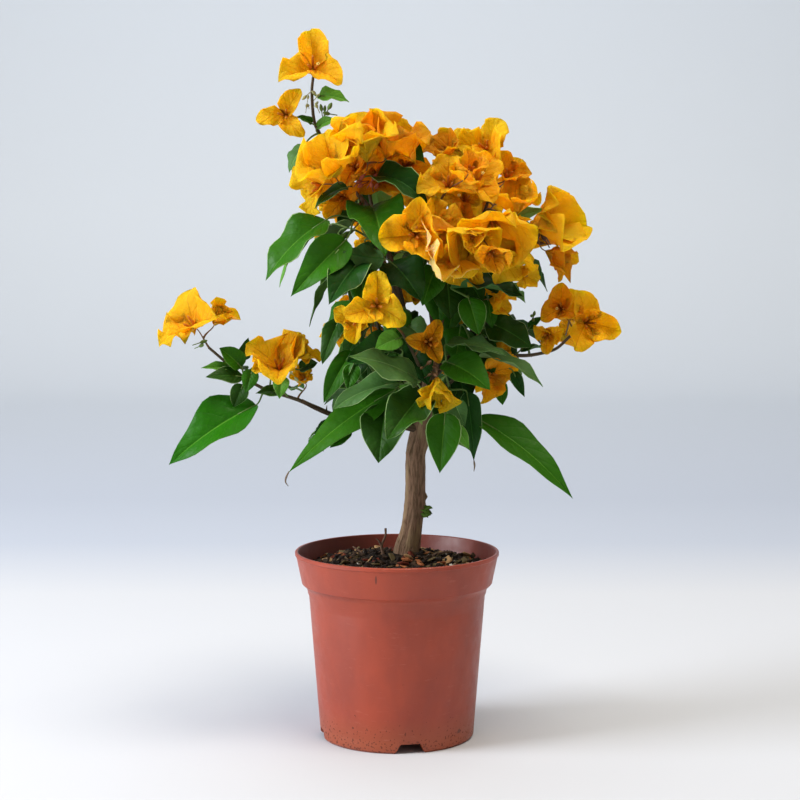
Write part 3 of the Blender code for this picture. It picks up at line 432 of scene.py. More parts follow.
        low=(-52, 12, 232),
        high=(20, 108, 348),
        small=(22, 6),
    ),
    "back_right": Mass(
        bough="bough_back_right",
        stem=((62, 53, 305), (64, 52, 314)),
        fill_leaves=15,
        fill_blooms=4,
        low=(18, 12, 244),
        high=(102, 108, 348),
        small=(22, 6),
    ),
    "back_low": Mass(
        stem=((14.6, 16.6, 222), (14, 30, 230), (16, 42, 242)),
        fill_leaves=9,
        low=(-28, 14, 200),
        high=(62, 96, 276),
        small=(12, 2),
    ),
}


def linear(code: str) -> tuple[float, float, float, float]:
    """A linear colour with alpha from an sRGB hex code, such as "#b5553a"."""
    parts = [int(code[place:place + 2], 16) / 255 for place in (1, 3, 5)]
    return (*[p / 12.92 if p <= 0.04045 else ((p + 0.055) / 1.055) ** 2.4 for p in parts], 1.0)


def add_node(tree: bpy.types.NodeTree, kind: str, inputs: dict | Sequence = (), out: int | str = 0,
             **settings: object) -> Socket:
    """Adds one shader node.

    Args:
        tree: The material's node tree.
        kind: The node's type without "ShaderNode".
        inputs: A value or the socket to link for each input, in their order, or by name or number.
        out: Which output is wanted.
        settings: Properties of the node.

    Returns:
        That output.
    """
    node = tree.nodes.new("ShaderNode" + kind)
    for name, value in settings.items():
        setattr(node, name, value)
    for place, value in inputs.items() if isinstance(inputs, dict) else enumerate(inputs):
        if isinstance(value, Socket):
            tree.links.new(value, node.inputs[place])
        else:
            node.inputs[place].default_value = value
    return node.outputs[out]


def grains(where: Socket, size_mm: float, detail: float = 2.0, rough: float = 0.5) -> dict[str, object]:
    """The inputs of a noise whose grains are about so many millimetres across, on coordinates in metres."""
    return {"Vector": where, "Scale": 1 / (size_mm * MM), "Detail": detail, "Roughness": rough}


def painted(add: Add, ground: str, *coats: tuple[Socket, str]) -> Socket:
    """A ground colour under coats of others, each with the share that it covers, laid one after another."""
    colour = linear(ground)
    for share, coat in coats:
        colour = add("Mix", {0: share, 6: colour, 7: linear(coat)}, 2, data_type="RGBA")
    return colour


@dataclass(frozen=True)
class Finish:
    """What every finish shares: its name, its main colour, its gloss, and how deep its relief is."""

    name: str
    colour: str
    roughness: float
    shine: float = 0.3
    relief_mm: float = 0.0

    def constants(self) -> dict[str, object]:
        """The shader's inputs that are the same all over."""
        base = linear(self.colour)
        return {"Base Color": base, "Roughness": self.roughness, "Specular IOR Level": self.shine}

    def patterns(self, add: Add) -> dict[str, Socket]:
        """What is linked to the shader's inputs, and the "Height" of the relief.

        Args:
            add: Adds a node to the material's own tree, as add_node does.

        Returns:
            A socket for each input that varies.
        """
        return {}

    def make(self) -> Material:
        """The material, with its height pressed into it as relief."""
        made = bpy.data.materials.new(self.name)
        made.use_nodes = True
        made.diffuse_color = linear(self.colour)
        tree = made.node_tree
        shader = tree.nodes["Principled BSDF"]
        for name, value in self.constants().items():
            shader.inputs[name].default_value = value
        add = partial(add_node, tree)
        linked = self.patterns(add)
        if "Height" in linked:
            relief = {"Height": linked.pop("Height"), "Distance": self.relief_mm * MM, "Strength": 1.0}
            linked["Normal"] = add("Bump", relief)
        for name, socket in linked.items():
            tree.links.new(socket, shader.inputs[name])
        return made


@dataclass(frozen=True)
class MouldedPolypropylene(Finish):
    """Pigmented injection-moulded polypropylene: satin, with faint flow marks, scuffs and soil splashes."""

    shine: float = 0.5
    relief_mm: float = 0.5
    ior: float = 1.49
    flow: str = "#923a26"
    flow_mm: float = 30.0
    foot: str = "#9a4c2c"
    scuff: str = "#bd6a54"
    scuff_mm: float = 14.0
    # the inner wall above the soil, painted darker as shade
    inside: str = "#6a2a20"
    shade_from_z: float = 116.0  # from here up, where the inside is bare of soil, it is painted in shade
    collar_z: tuple[float, float] = (116.6, 136.5)  # the collar's outer skin, from its foot to its lip
    collar_r: tuple[float, float] = (70.2, 73.3)  # just within that skin
    splash: str = "#5d2a1b"
    foot_top_mm: float = 26.0
    speck_mm: float = 1.7
    gloss_mm: float = 9.0
    # A scratch down the collar and a knock by the foot: their places and half-sizes in mm
    scars: tuple[tuple[Point, Point], ...] = (
        ((-14.7, -72, 128.5), (0.8, 5, 3.8)),
        ((44.8, -35.8, 11.3), (1.5, 3, 1.8)),
    )

    def constants(self) -> dict[str, object]:
        """Adds the plastic's own refraction."""
        return super().constants() | {"IOR": self.ior}

    def patterns(self, add: Add) -> dict[str, Socket]:
        """Its clouded pigment, its rubbed places, the soil that has dried on it, and painted shade inside the
        collar.
        """
        where = add("TexCoord", out="Object")
        height = add("SeparateXYZ", [where], "Z")
        # Cloudy flow of the pigment, drawn out up the wall
        drawn = add("Mapping", {"Vector": where, "Scale": (1, 1, 0.55)})
        cloud = add("MapRange", [add("TexNoise", grains(drawn, self.flow_mm, 4, 0.6)), 0.35, 0.68])
        # The foot is more orange, the more so towards the bottom
        low = add("MapRange", [height, self.foot_top_mm * MM, 6 * MM, 0, 0.75])
        # Pale rubbed patches and scratches that run round the pot
        level = add("Mapping", {"Vector": where, "Scale": (1, 1, 5)})
        rub = add("MapRange", [add("TexNoise", grains(level, self.scuff_mm, 5, 0.7)), 0.6, 0.78, 0, 0.45])
        # Painted shade darkens the inside above the soil's own level, which is all within the collar's outer
        # skin
        flat = add("VectorMath", [where, (1, 1, 0)], operation="MULTIPLY")
        radius = add("VectorMath", [flat], "Value", operation="LENGTH")
        collar = add("MapRange", [height, *(size * MM for size in self.collar_z + self.collar_r)])
        depth = add("Math", [collar, radius], operation="SUBTRACT")
        shaded_share = add("MapRange", [depth, 0, 0.4 * MM, 0, 0.75])
        above = add("MapRange", [height, self.shade_from_z * MM, (self.shade_from_z + 2) * MM])
        inner = add("Math", [shaded_share, above], operation="MULTIPLY")
        coats = [(cloud, self.flow), (low, self.foot), (rub, self.scuff), (inner, self.inside)]
        for place, size in self.scars:
            spot = {"Vector": where, "Location": Vector(place) * MM, "Scale": Vector(size) * MM}
            off = add("Mapping", spot, vector_type="TEXTURE")
            away = add("VectorMath", [off], "Value", operation="LENGTH")
            coats.append((add("MapRange", [away, 1.0, 0.7, 0, 0.85]), self.splash))
        # Specks of soil, thicker towards the foot
        speck = add("TexNoise", grains(where, self.speck_mm, 1))
        needed = add("MapRange", [height, 3 * MM, 34 * MM, 0.585, 0.8])
        dirt = add("MapRange", [add("Math", [speck, needed], operation="SUBTRACT"), 0, 0.03, 0, 0.85])
        gloss = add("TexNoise", grains(where, self.gloss_mm, 4, 0.6))
        gloss = add("MapRange", [gloss, 0.3, 0.7, self.roughness - 0.06, self.roughness + 0.08])
        dull = add("Math", [dirt, 0.9], operation="MULTIPLY")
        fine, broad = (add("TexNoise", grains(where, size_mm)) for size_mm in (0.9, 16))
        return {
            "Base Color": painted(add, self.colour, *coats, (dirt, self.splash)),
            "Roughness": add("Math", [gloss, dull], operation="MAXIMUM"),
            "Height": add("Math", [fine, 0.12, broad], operation="MULTIPLY_ADD"),
        }


@dataclass(frozen=True)
class PottingSoil(Finish):
    """Damp peat and bark fines: dark and quite matt, with paler dry crumbs."""

    shine: float = 0.25
    relief_mm: float = 1.4
    dry: str = "#5f4c39"
    crumb_mm: float = 2.2
    patch_mm: float = 11.0

    def patterns(self, add: Add) -> dict[str, Socket]:
        """Its crumbs, which are dry in patches."""
        where = add("TexCoord", out="Object")
        crumbs = add("TexNoise", grains(where, self.crumb_mm, 5, 0.7))
        patches = add("TexNoise", grains(where, self.patch_mm, 3, 0.6))
        dried = add("MapRange", [add("Math", [crumbs, patches], operation="MULTIPLY"), 0.2, 0.42])
        return {"Base Color": painted(add, self.colour, (dried, self.dry)), "Height": crumbs}


@dataclass(frozen=True)
class Grained(Finish):
    """A plain colour under a fine grain."""

    relief_mm: float = 0.5
    grain_mm: float = 1.2
    detail: float = 3.0
    rough: float = 0.7

    def patterns(self, add: Add) -> dict[str, Socket]:
        """The grain."""
        where = add("TexCoord", out="Object")
        return {"Height": add("TexNoise", grains(where, self.grain_mm, self.detail, self.rough))}


@dataclass(frozen=True)
class Crumb(Grained):
    """A chip in the soil, such as bark, charcoal or perlite, with a rough broken skin."""


@dataclass(frozen=True)
class GreenBark(Grained):
    """The smooth skin of young stalks, thorns and buds, with a slight grain."""

    shine: float = 0.4
    relief_mm: float = 0.25
    detail: float = 2.0
    rough: float = 0.6


@dataclass(frozen=True)
class Bark(Finish):
    """Thin bark of a young woody vine: tan, split lengthwise by darker lines, with a few grey patches."""

    relief_mm: float = 0.7
    groove: str = "#55412c"
    groove_mm: float = 1.15
    ridge: str = "#a48b67"
    ridge_mm: float = 5.0
    patch: str = "#7a664e"
    patch_mm: float = 14.0
    stretch: float = 0.13  # of the pattern's scale along the limb

    def patterns(self, add: Add) -> dict[str, Socket]:
        """Its grooves and ridges, drawn out along the limb, and its patches."""
        limb = add("Attribute", out="Vector", attribute_name=GRAIN)
        drawn = add("Mapping", {"Vector": limb, "Scale": (1, 1, self.stretch)})
        fine = add("TexNoise", grains(drawn, self.groove_mm, 4, 0.62))
        wide = add("TexNoise", grains(drawn, self.ridge_mm, 3, 0.55))
        blot = add("TexNoise", grains(limb, self.patch_mm, 3))
        between = add("MapRange", [fine, 0.36, 0.56])
        raised = add("MapRange", [wide, 0.5, 0.68, 0, 0.75])
        stained = add("MapRange", [blot, 0.54, 0.66, 0, 0.45])
        coats = ((between, self.colour), (raised, self.ridge), (stained, self.patch))
        return {
            "Base Color": painted(add, self.groove, *coats),
            "Height": add("Math", [wide, 1.4, fine], operation="MULTIPLY_ADD"),
        }


@dataclass(frozen=True)
class BladeSkin(Finish):
    """What leaves and bracts share: light that comes through them, and raised side veins.

    The colour is plain because it goes by spray; the veins are relief that runs with the blade.
    """

    veins: float = 7.0  # pairs of side veins on a blade
    vein_lean: float = 1.7
    vein_edge: float = 0.35  # the less, the broader the veins
    glow: float = 0.12  # the share of light that comes through
    glow_tint: Point = (0.5, 1.0, 0.1)
    glow_mm: float = 1.2

    def constants(self) -> dict[str, object]:
        """Adds the light that comes through."""
        return super().constants() | {
            "Subsurface Weight": self.glow,
            "Subsurface Radius": self.glow_tint,
            "Subsurface Scale": self.glow_mm * MM,
        }

    def veined(self, add: Add) -> Socket:
        """A height that stands along the side veins, which lean towards the point."""
        blade = add("Attribute", out="Vector", attribute_name=BLADE)
        across, onward = (add("SeparateXYZ", [blade], axis) for axis in "XY")
        aside = add("Math", [across], operation="ABSOLUTE")
        lean = add("Math", [aside, self.vein_lean], operation="MULTIPLY")
        height = add("Math", [onward, self.veins], operation="MULTIPLY")
        height = add("Math", [height, lean], operation="SUBTRACT")
        for operation, by in (("MULTIPLY", math.pi), ("SINE", 0), ("ABSOLUTE", 0), ("POWER", self.vein_edge)):
            height = add("Math", [height, by], operation=operation)
        return height


@dataclass(frozen=True)
class LeafSkin(BladeSkin):
    """A leaf's waxy skin: glossy above and duller below, slightly puckered between its veins."""

    shine: float = 0.14
    relief_mm: float = 0.22
    pucker_mm: float = 8.0
    gloss_mm: float = 7.0

    def patterns(self, add: Add) -> dict[str, Socket]:
        """Its uneven gloss, its veins and its puckers."""
        where = add("TexCoord", out="Object")
        puckers = add("TexNoise", grains(where, self.pucker_mm))
        gloss = add("TexNoise", grains(where, self.gloss_mm, 3, 0.6))
        return {
            "Roughness": add("MapRange", [gloss, 0.3, 0.7, self.roughness - 0.1, self.roughness + 0.12]),
            "Height": add("Math", [puckers, 5.0, self.veined(add)], operation="MULTIPLY_ADD"),
        }


@dataclass(frozen=True)
class BractPaper(BladeSkin):
    """A bract's papery skin: thin enough to glow, and creased by a net of fine veins."""

    shine: float = 0.08
    relief_mm: float = 0.5
    veins: float = 5.0
    vein_lean: float = 2.2
    vein_edge: float = 0.4
    glow: float = 0.72
    glow_tint: Point = (1.0, 0.5, 0.04)
    glow_mm: float = 4.0
    net_mm: float = 3.2
    crease_mm: float = 4.0

    def patterns(self, add: Add) -> dict[str, Socket]:
        """Its veins, the net between them and its creases."""
        where = add("TexCoord", out="Object")
        cells = {"Vector": where, "Scale": 1 / (self.net_mm * MM)}
        net = add("TexVoronoi", cells, "Distance", feature="DISTANCE_TO_EDGE")
        net = add("MapRange", [net, 0, 0.12, 0, 0.35])
        crease = add("TexNoise", grains(where, self.crease_mm, 3, 0.6))
        height = add("Math", [net, self.veined(add)], operation="ADD")
        return {"Height": add("Math", [crease, 1.6, height], operation="MULTIPLY_ADD")}


@dataclass(frozen=True)
class StudioPaint(Finish):
    """Matt board with painted light and shade: white under the plant as a painted pool of light, a cool grey
    all round it as painted shade, and paler again up the wall behind as painted light.
    """

    shine: float = 0.1
    # the grey paints shade round the pool of light; the far paleness paints light on the wall
    wall: str = "#bbc4d3"
    far: str = "#e6edf4"
    board: float = 0.53  # metres from the middle to where the painted pool of light starts to turn
    turned_by: float = 0.84
    far_from: float = 1.2
    far_by: float = 3.4
    squash: float = 0.7  # the painted pool of light is that much deeper than it is wide

    def patterns(self, add: Add) -> dict[str, Socket]:
        """The painted turn from the pool of light to grey shade, and back to pale painted light."""
        where = add("TexCoord", out="Object")
        places = (add("SeparateXYZ", [where], axis) for axis in "XY")
        aside, ahead = (add("Math", [place], operation="ABSOLUTE") for place in places)
        aside = add("Math", [aside, self.squash], operation="MULTIPLY")
        away = add("Math", [aside, ahead], operation="MAXIMUM")
        turned = add("MapRange", [away, self.board, self.turned_by])
        pale = add("MapRange", [away, self.far_from, self.far_by])
        return {"Base Color": painted(add, self.colour, (turned, self.wall), (pale, self.far))}


def smooth_path(points: Sequence[Point], steps: int) -> Path:
    """A Catmull-Rom curve through the points, with so many steps between each two."""
    knots = [Vector(point) for point in points]
    knots = [2 * knots[0] - knots[1]] + knots + [2 * knots[-1] - knots[-2]]
    path = []
    for before, start, end, after in zip(knots, knots[1:], knots[2:], knots[3:]):
        for step in range(steps):
            t = step / steps
            square = (2 * before - 5 * start + 4 * end - after) * t ** 2
            cube = (3 * start - before - 3 * end + after) * t ** 3
            path.append(0.5 * (2 * start + (end - before) * t + square + cube))
    return path + [knots[-2]]


def along(values: Sequence[float], count: int) -> list[float]:
    """The values stretched evenly over a number of places."""
    spread = []
    for index in range(count):
        place = index * (len(values) - 1) / (count - 1)
        low = min(int(place), len(values) - 2)
        spread.append(values[low] + (values[low + 1] - values[low]) * (place - low))
    return spread


def bezier(controls: Sequence[Vector], t: float) -> Vector:
    """A place on a cubic Bezier curve."""
    first, second, third, last = controls
    s = 1 - t
    return first * s ** 3 + second * (3 * s * s * t) + third * (3 * s * t * t) + last * t ** 3


def frames(path: Path, hint: Vector) -> list[tuple[Vector, Vector]]:
    """The onward and upward directions at each place, carried back from the end so that they never twist."""
    found = []
    upward = hint
    for index in reversed(range(len(path))):
        onward = (path[min(index + 1, len(path) - 1)] - path[max(index - 1, 0)]).normalized()
        upward = (upward - upward.dot(onward) * onward).normalized()
        found.append((onward, upward))
    return found[::-1]


def ring(bm: BMesh, sides: int, centre: Vector, across: Vector, upward: Vector) -> Loop:
    """A loop of vertices round a place, its first one on the upward side."""
    verts = bmesh.ops.create_circle(bm, segments=sides, radius=1)["verts"]
    for vert in verts:
        vert.co = (centre + across * vert.co.x + upward * vert.co.y) * MM
    return verts


def skin(bm: BMesh, rings: Sequence[Loop]) -> None:
    """Joins loops of vertices one after another."""
    for one, two in zip(rings, rings[1:]):
        both = one + two
        edges = {edge for vert in both for edge in vert.link_edges if len(edge.link_faces) < 2}
        loops = [e for e in edges if all(v in one for v in e.verts) or all(v in two for v in e.verts)]
        bmesh.ops.bridge_loops(bm, edges=loops)


def tube_rings(bm: BMesh, path: Path, radii: Sequence[float], sides: int, hint: Vector) -> list[Loop]:
    """The loops of a tube, square to its path."""
    rings = []
    for centre, radius, (onward, upward) in zip(path, radii, frames(path, hint)):
        rings.append(ring(bm, sides, centre, onward.cross(upward) * radius, upward * radius))
    return rings


def tube(bm: BMesh, path: Path, radii: Sequence[float], sides: int) -> None:
    """A tapering tube with flat ends."""
    rings = tube_rings(bm, path, radii, sides, (path[-1] - path[0]).orthogonal().normalized())
    skin(bm, rings)
    for end in (rings[0], rings[-1]):
        bmesh.ops.contextual_create(bm, geom=end)


def leaf_outline(t: float) -> float:
    """Half-width at a share of the length, of the widest: round at the base, drawn out to a point."""
    return (t ** 0.55 * (1 - t) ** 0.9) / 0.382


def bract_outline(t: float) -> float:
    """Half-width at a share of a bract's length, of the widest: nearly round."""
    return (t ** 0.42 * (1 - t) ** 0.55) / 0.511


def drawn_outline(t: float, swell: float, tail: float) -> float:
    """Half-width of a fine blade at a share of its length, of the widest: swelling, then drawn out."""
    if not 0 < t < 1:
        return 0.0
    widest = swell / (swell + tail)
    return (t / widest) ** swell * ((1 - t) / (1 - widest)) ** tail


def arched(base: Vector, tip: Vector, face: Vector, bend: float, t: float) -> tuple[Vector, Vector, Vector]:
    """A place on a blade's arched midline, with the side and upward directions there."""
    chord = tip - base
    onward = chord.normalized()
    normal = (face - face.dot(onward) * onward).normalized()
    arc = math.radians(bend)
    angle = arc * (t - 0.5)
    ahead = 0.5 + math.sin(angle) / (2 * math.sin(arc / 2))
    rise = (math.cos(angle) - math.cos(arc / 2)) / (2 * math.sin(arc / 2))
    centre = base + chord * ahead + normal * (rise * chord.length)
    return centre, onward.cross(normal), (normal * math.cos(angle) + onward * math.sin(angle)).normalized()


def bracts_of(bloom: Bloom) -> Iterator[tuple[Vector, Vector, Vector]]:
    """The direction and upper side of each of a bloom's three bracts, and the way out to it from the axis."""
    looks = Vector(bloom.looks).normalized()
    upright = Vector(UP) if abs(looks.z) < 0.97 else Vector(FRONT)
    level = (upright - upright.dot(looks) * looks).normalized()
    spread = math.radians(bloom.spread)
    for number in range(3):
        out = Matrix.Rotation(math.radians(bloom.spin + 120 * number), 3, looks) @ level
        direction = looks * math.cos(spread) + out * math.sin(spread)
        yield direction, looks * math.sin(spread) - out * math.cos(spread), out


class PlainShape:
    """The source's own plain leaf and bloom, which only show whether a place is free."""

    @staticmethod
    def thickness_of(length: float) -> float:
        """A plain blade's thickness."""
        return max(length * BLADE_THICK, BLADE_THICK_LEAST)

    @classmethod
    def leaf(cls, bm: BMesh, leaf: Leaf, path: Path, radii: Sequence[float], swell: float = 0.0) -> None:
        """A three-sided stalk that runs on as the blade, swollen all round."""
        base, tip, face = Vector(leaf.base), Vector(leaf.tip), Vector(leaf.face)
        length = (tip - base).length
        stations = (0.14, 0.42, 0.74) if length > LONG_LEAF else (0.24, 0.66)
        _, _, upward = arched(base, tip, face, leaf.bend, 0)
        rings = tube_rings(bm, path, [radius + swell / 2 for radius in radii], 3, -upward)
        for t in stations:
            centre, side, upward = arched(base, tip, face, leaf.bend, t)
            half = leaf.width / 2 * leaf_outline(t) + swell / 2
            deep = cls.thickness_of(length) + swell
            across = side * (half / math.sin(math.pi / 3))
            rings.append(ring(bm, 3, centre - upward * deep / 3, across, -upward * deep / 1.5))
        rings.append(ring(bm, 3, tip, side * 0.1, upward * 0.1))
        skin(bm, rings)
        bmesh.ops.contextual_create(bm, geom=rings[0])
        bmesh.ops.pointmerge(bm, verts=rings[-1], merge_co=tip * MM)

    @classmethod
    def bloom(cls, bm: BMesh, bloom: Bloom, path: Path, radii: Sequence[float],
              swell: float = 0.0) -> None:
        """A three-sided stalk that ends in a hub, with a bract pulled out of each side, swollen all round."""
        looks = Vector(bloom.looks).normalized()
        at = Vector(bloom.at)
        bracts = list(bracts_of(bloom))
        path = path[:-1] + [at - looks * HUB, at + looks * HUB]
        radii = [radius + swell / 2 for radius in radii] + [HUB + swell / 2]
        rings = tube_rings(bm, path, radii, 3, -bracts[0][2])
        skin(bm, rings)
        for end in (rings[0], rings[-1]):
            bmesh.ops.contextual_create(bm, geom=end)
        corners = set(rings[-1] + rings[-2])
        sides = [face for face in {f for v in rings[-1] for f in v.link_faces}
                 if corners.issuperset(face.verts) and len(face.verts) == 4]
        for face in sides:
            facing = face.calc_center_median() / MM - at
            direction, inward, _ = max(bracts, key=lambda bract: bract[2].dot(facing))
            tip = at + direction * bloom.length
            for t in (0.28, 0.76, 1.0):
                centre, side, upward = arched(at, tip, inward, bloom.bend, t)
                from_axis = (centre - at - looks * (centre - at).dot(looks)).length
                half = min(bloom.length * BRACT_WIDTH / 2 * bract_outline(t), from_axis * BRACT_CROWD)
                half = (half + swell / 2) * (t < 1)
                deep = (cls.thickness_of(bloom.length) + swell) / 2 * (t < 1)
                middle = sum((vert.co / MM - at for vert in face.verts), Vector()) / 4
                face = bmesh.ops.extrude_discrete_faces(bm, faces=[face])["faces"][0]
                for vert in face.verts:
                    away = vert.co / MM - at - middle
                    vert.co = (centre + side * math.copysign(half, away.dot(side))
                               + upward * math.copysign(deep, away.dot(upward))) * MM
            bmesh.ops.pointmerge(bm, verts=face.verts, merge_co=tip * MM)


def tree_of(build: Build) -> BVHTree:
    """A search tree over what a function builds in an empty mesh."""
    bm = bmesh.new()
    build(bm)
    tree = BVHTree.FromBMesh(bm)
    bm.free()
    return tree


def limb_tree(limb: Limb) -> BVHTree:
    """A search tree over a limb, swollen by the clearance."""
    path = [Vector(point) for point in limb.points]
    return tree_of(lambda bm: tube(bm, path, [r + CLEAR for r in limb.radii], limb.sides))


def stem_path(mass: Mass) -> Path:
    """The stem's places: where it ends a bough, it carries straight on from the bough's tip."""
    path = [Vector(point) for point in mass.stem]
    if mass.bough:
        before, tip = (Vector(point) for point in BOUGHS[mass.bough].points[-2:])
        onward = (tip - before).normalized()
        path = [tip + onward * (GAP + 0.1), tip + onward * 3] + path
    return path


def free(tree: BVHTree, others: Sequence[BVHTree]) -> bool:
    """Whether a shape meets none of the others."""
    return not any(tree.overlap(other) for other in others)


def folded(build: Build) -> bool:
    """Whether a shape runs through itself, as at a stalk's too tight bend."""
    bm = bmesh.new()
    build(bm)
    bm.faces.ensure_lookup_table()
    tree = BVHTree.FromBMesh(bm)
    met = any(set(bm.faces[one].verts).isdisjoint(bm.faces[two].verts) for one, two in tree.overlap(tree))
    bm.free()
    return met


def moved(thing: Leaf | Bloom, shift: float) -> Leaf | Bloom:
    """The same leaf or bloom, put that much further back."""
    step = Vector((0, shift, 0))
    if isinstance(thing, Leaf):
        return replace(thing, base=tuple(Vector(thing.base) + step), tip=tuple(Vector(thing.tip) + step))
    return replace(thing, at=tuple(Vector(thing.at) + step))


@dataclass(frozen=True)
class Grown:
    """A leaf or a bloom where it has grown, with the curve and the two radii of its stalk."""

    thing: Leaf | Bloom
    controls: tuple
    thick: float
    thin: float
    small: bool = False


@dataclass
class Growth:
    """Grows one mass by the source's rule: each stalk springs from the nearest free wood already grown."""

    name: str
    mass: Mass
    rng: random.Random
    fences: list[BVHTree] = field(default_factory=list)
    own: list[BVHTree] = field(default_factory=list)
    wood: list[tuple] = field(default_factory=list)
    springing: dict[tuple, int] = field(default_factory=dict)
    grown: list[Grown] = field(default_factory=list)
    fine: bool = False  # once only the small growth is left, which has no solid

    def __post_init__(self) -> None:
        """Starts the wood with the mass's stem."""
        path = stem_path(self.mass)
        self.wood = self.pieces(path)
        radii = [radius + CLEAR for radius in along((STEM_R, TWIG_R), len(path))]
        self.own.append(tree_of(lambda bm: tube(bm, path, radii, 5)))

    @staticmethod
    def pieces(path: Path) -> list[tuple]:
        """The straight pieces of a path."""
        places = [tuple(place) for place in path]
        return list(zip(places, places[1:]))

    def reach_out(self, base: Vector, onward: Vector, radius: float) -> tuple | None:
        """A twig from the best wood near a place.

        Args:
            base: Where it ends.
            onward: The direction it arrives along.
            radius: Its radius at its end.

        Returns:
            Its path, radii and curve, or None if no way is free.
        """
        def cost(piece: tuple) -> float:
            """How far the wood is, less where it already leans that way."""
            start, end = Vector(piece[0]), Vector(piece[1])
            gap = base - end
            lean = gap.normalized().dot((end - start).normalized()) if gap.length > 0 else 1
            return gap.length * (1.25 - 0.35 * lean)

        for piece in sorted(self.wood, key=cost)[:NEAREST]:
            used = self.springing.get(piece, 0)
            if used >= TWIGS_EACH:
                continue
            start, end = Vector(piece[0]), Vector(piece[1])
            end = end.lerp(start, 0.05 + 0.24 * used)
            length = (base - end).length
            if length < 3:
                continue
            leave = ((end - start).normalized() * 0.5 + (base - end).normalized()).normalized()
            controls = (end, end + leave * length * 0.35, base - onward * length * 0.35, base)
            steps = 1 if length < 6 else 2 if length < 26 else 3
            path = [bezier(controls, step / steps) for step in range(steps + 1)]
            path[0] = end - leave * ROOT
            radii = along((radius + length * 0.008, radius), len(path))
            tree = tree_of(lambda bm: tube(bm, path, [r + CLEAR for r in radii], 3))
            if free(tree, self.fences):
                self.springing[piece] = used + 1
                return path, radii, controls
        return None

    def add(self, thing: Leaf | Bloom, settle: bool = True) -> bool:
        """Puts a leaf or a bloom on, moved a little back or forward where it would touch a neighbour.

        Args:
            thing: The leaf or bloom.
            settle: Whether it may move, and may touch its own mass.

        Returns:
            Whether it found room.
        """
        is_leaf = isinstance(thing, Leaf)
        shape = PlainShape.leaf if is_leaf else PlainShape.bloom
        radius = PETIOLE_R if is_leaf else FLOWER_STALK_R
        for shift in SHIFTS if settle else (0,):
            placed = moved(thing, shift)
            if is_leaf:
                base = Vector(placed.base)
                onward = (Vector(placed.tip) - base).normalized()
            else:
                onward = Vector(placed.looks).normalized()
                base = Vector(placed.at) - onward * HUB
            stub = ([base - onward, base], [radius, radius])
            tree = tree_of(lambda bm: shape(bm, placed, *stub, CLEAR * 2))
            if not free(tree, self.fences) or not (settle or free(tree, self.own)):
                continue
            stalk = self.reach_out(base, onward, radius)
            if stalk and not folded(lambda bm: shape(bm, placed, *stalk[:2])):
                path, radii, controls = stalk
                self.wood += self.pieces(path)
                self.own.append(tree_of(lambda bm: shape(bm, placed, path, radii, CLEAR * 2)))
                self.grown.append(Grown(placed, controls, radii[0], radii[-1], self.fine))
                return True
        return False

    def inside(self, thing: Leaf | Bloom) -> bool:
        """Whether a leaf's base and point, or a bloom with its bracts, stay in the mass's own space."""
        if isinstance(thing, Leaf):
            places, margin = (Vector(thing.base), Vector(thing.tip)), 0
        else:
            places, margin = (Vector(thing.at),), thing.length * 0.9
        return all(low + margin <= value <= high - margin for place in places
                   for low, value, high in zip(self.mass.low, place, self.mass.high))

    def fill(self) -> None:
        """Leaves and blooms turned by the golden angle round the stem, out to the edge of the space."""
        rng = self.rng
        mass = self.mass
        path = stem_path(mass)
        middle = sum(path, Vector()) / len(path)
        wanted = {Bloom: mass.fill_blooms, Leaf: mass.fill_leaves}
        for tries in range(sum(wanted.values()) * FILL_TRIES):
            height = rng.uniform(-0.95, 0.95)
            turn = tries * GOLDEN_ANGLE
            level = Vector((math.cos(turn), math.sin(turn), 0))
            out = level * math.sqrt(1 - height ** 2) + Vector((0, 0, height))
            share = rng.uniform(0.25, 0.95)
            corner = [high if part > 0 else low for part, low, high in zip(out, mass.low, mass.high)]
            at = Vector(m + (c - m) * abs(part) * share for m, c, part in zip(middle, corner, out))
            if rng.random() < wanted[Bloom] / max(1, sum(wanted.values())):
                looks = out + Vector((0, 0, 0.3))
                sizes = rng.uniform(21, 28), rng.uniform(0, 120), rng.uniform(48, 66)
                thing = Bloom(tuple(at), tuple(looks), *sizes)
            else:
                length = rng.uniform(34, 54)
                onward = (level * rng.uniform(0.5, 1) + Vector((0, 0, rng.uniform(-1.1, 0.1)))).normalized()
                face = level * rng.uniform(0.5, 1.1) + Vector((0, 0, 0.9))
                width = length * rng.uniform(0.56, 0.68)
                thing = Leaf(tuple(at), tuple(at + onward * length), width, tuple(face), rng.uniform(25, 50))
            if wanted[type(thing)] and self.inside(thing):
                wanted[type(thing)] -= self.add(thing, settle=False)

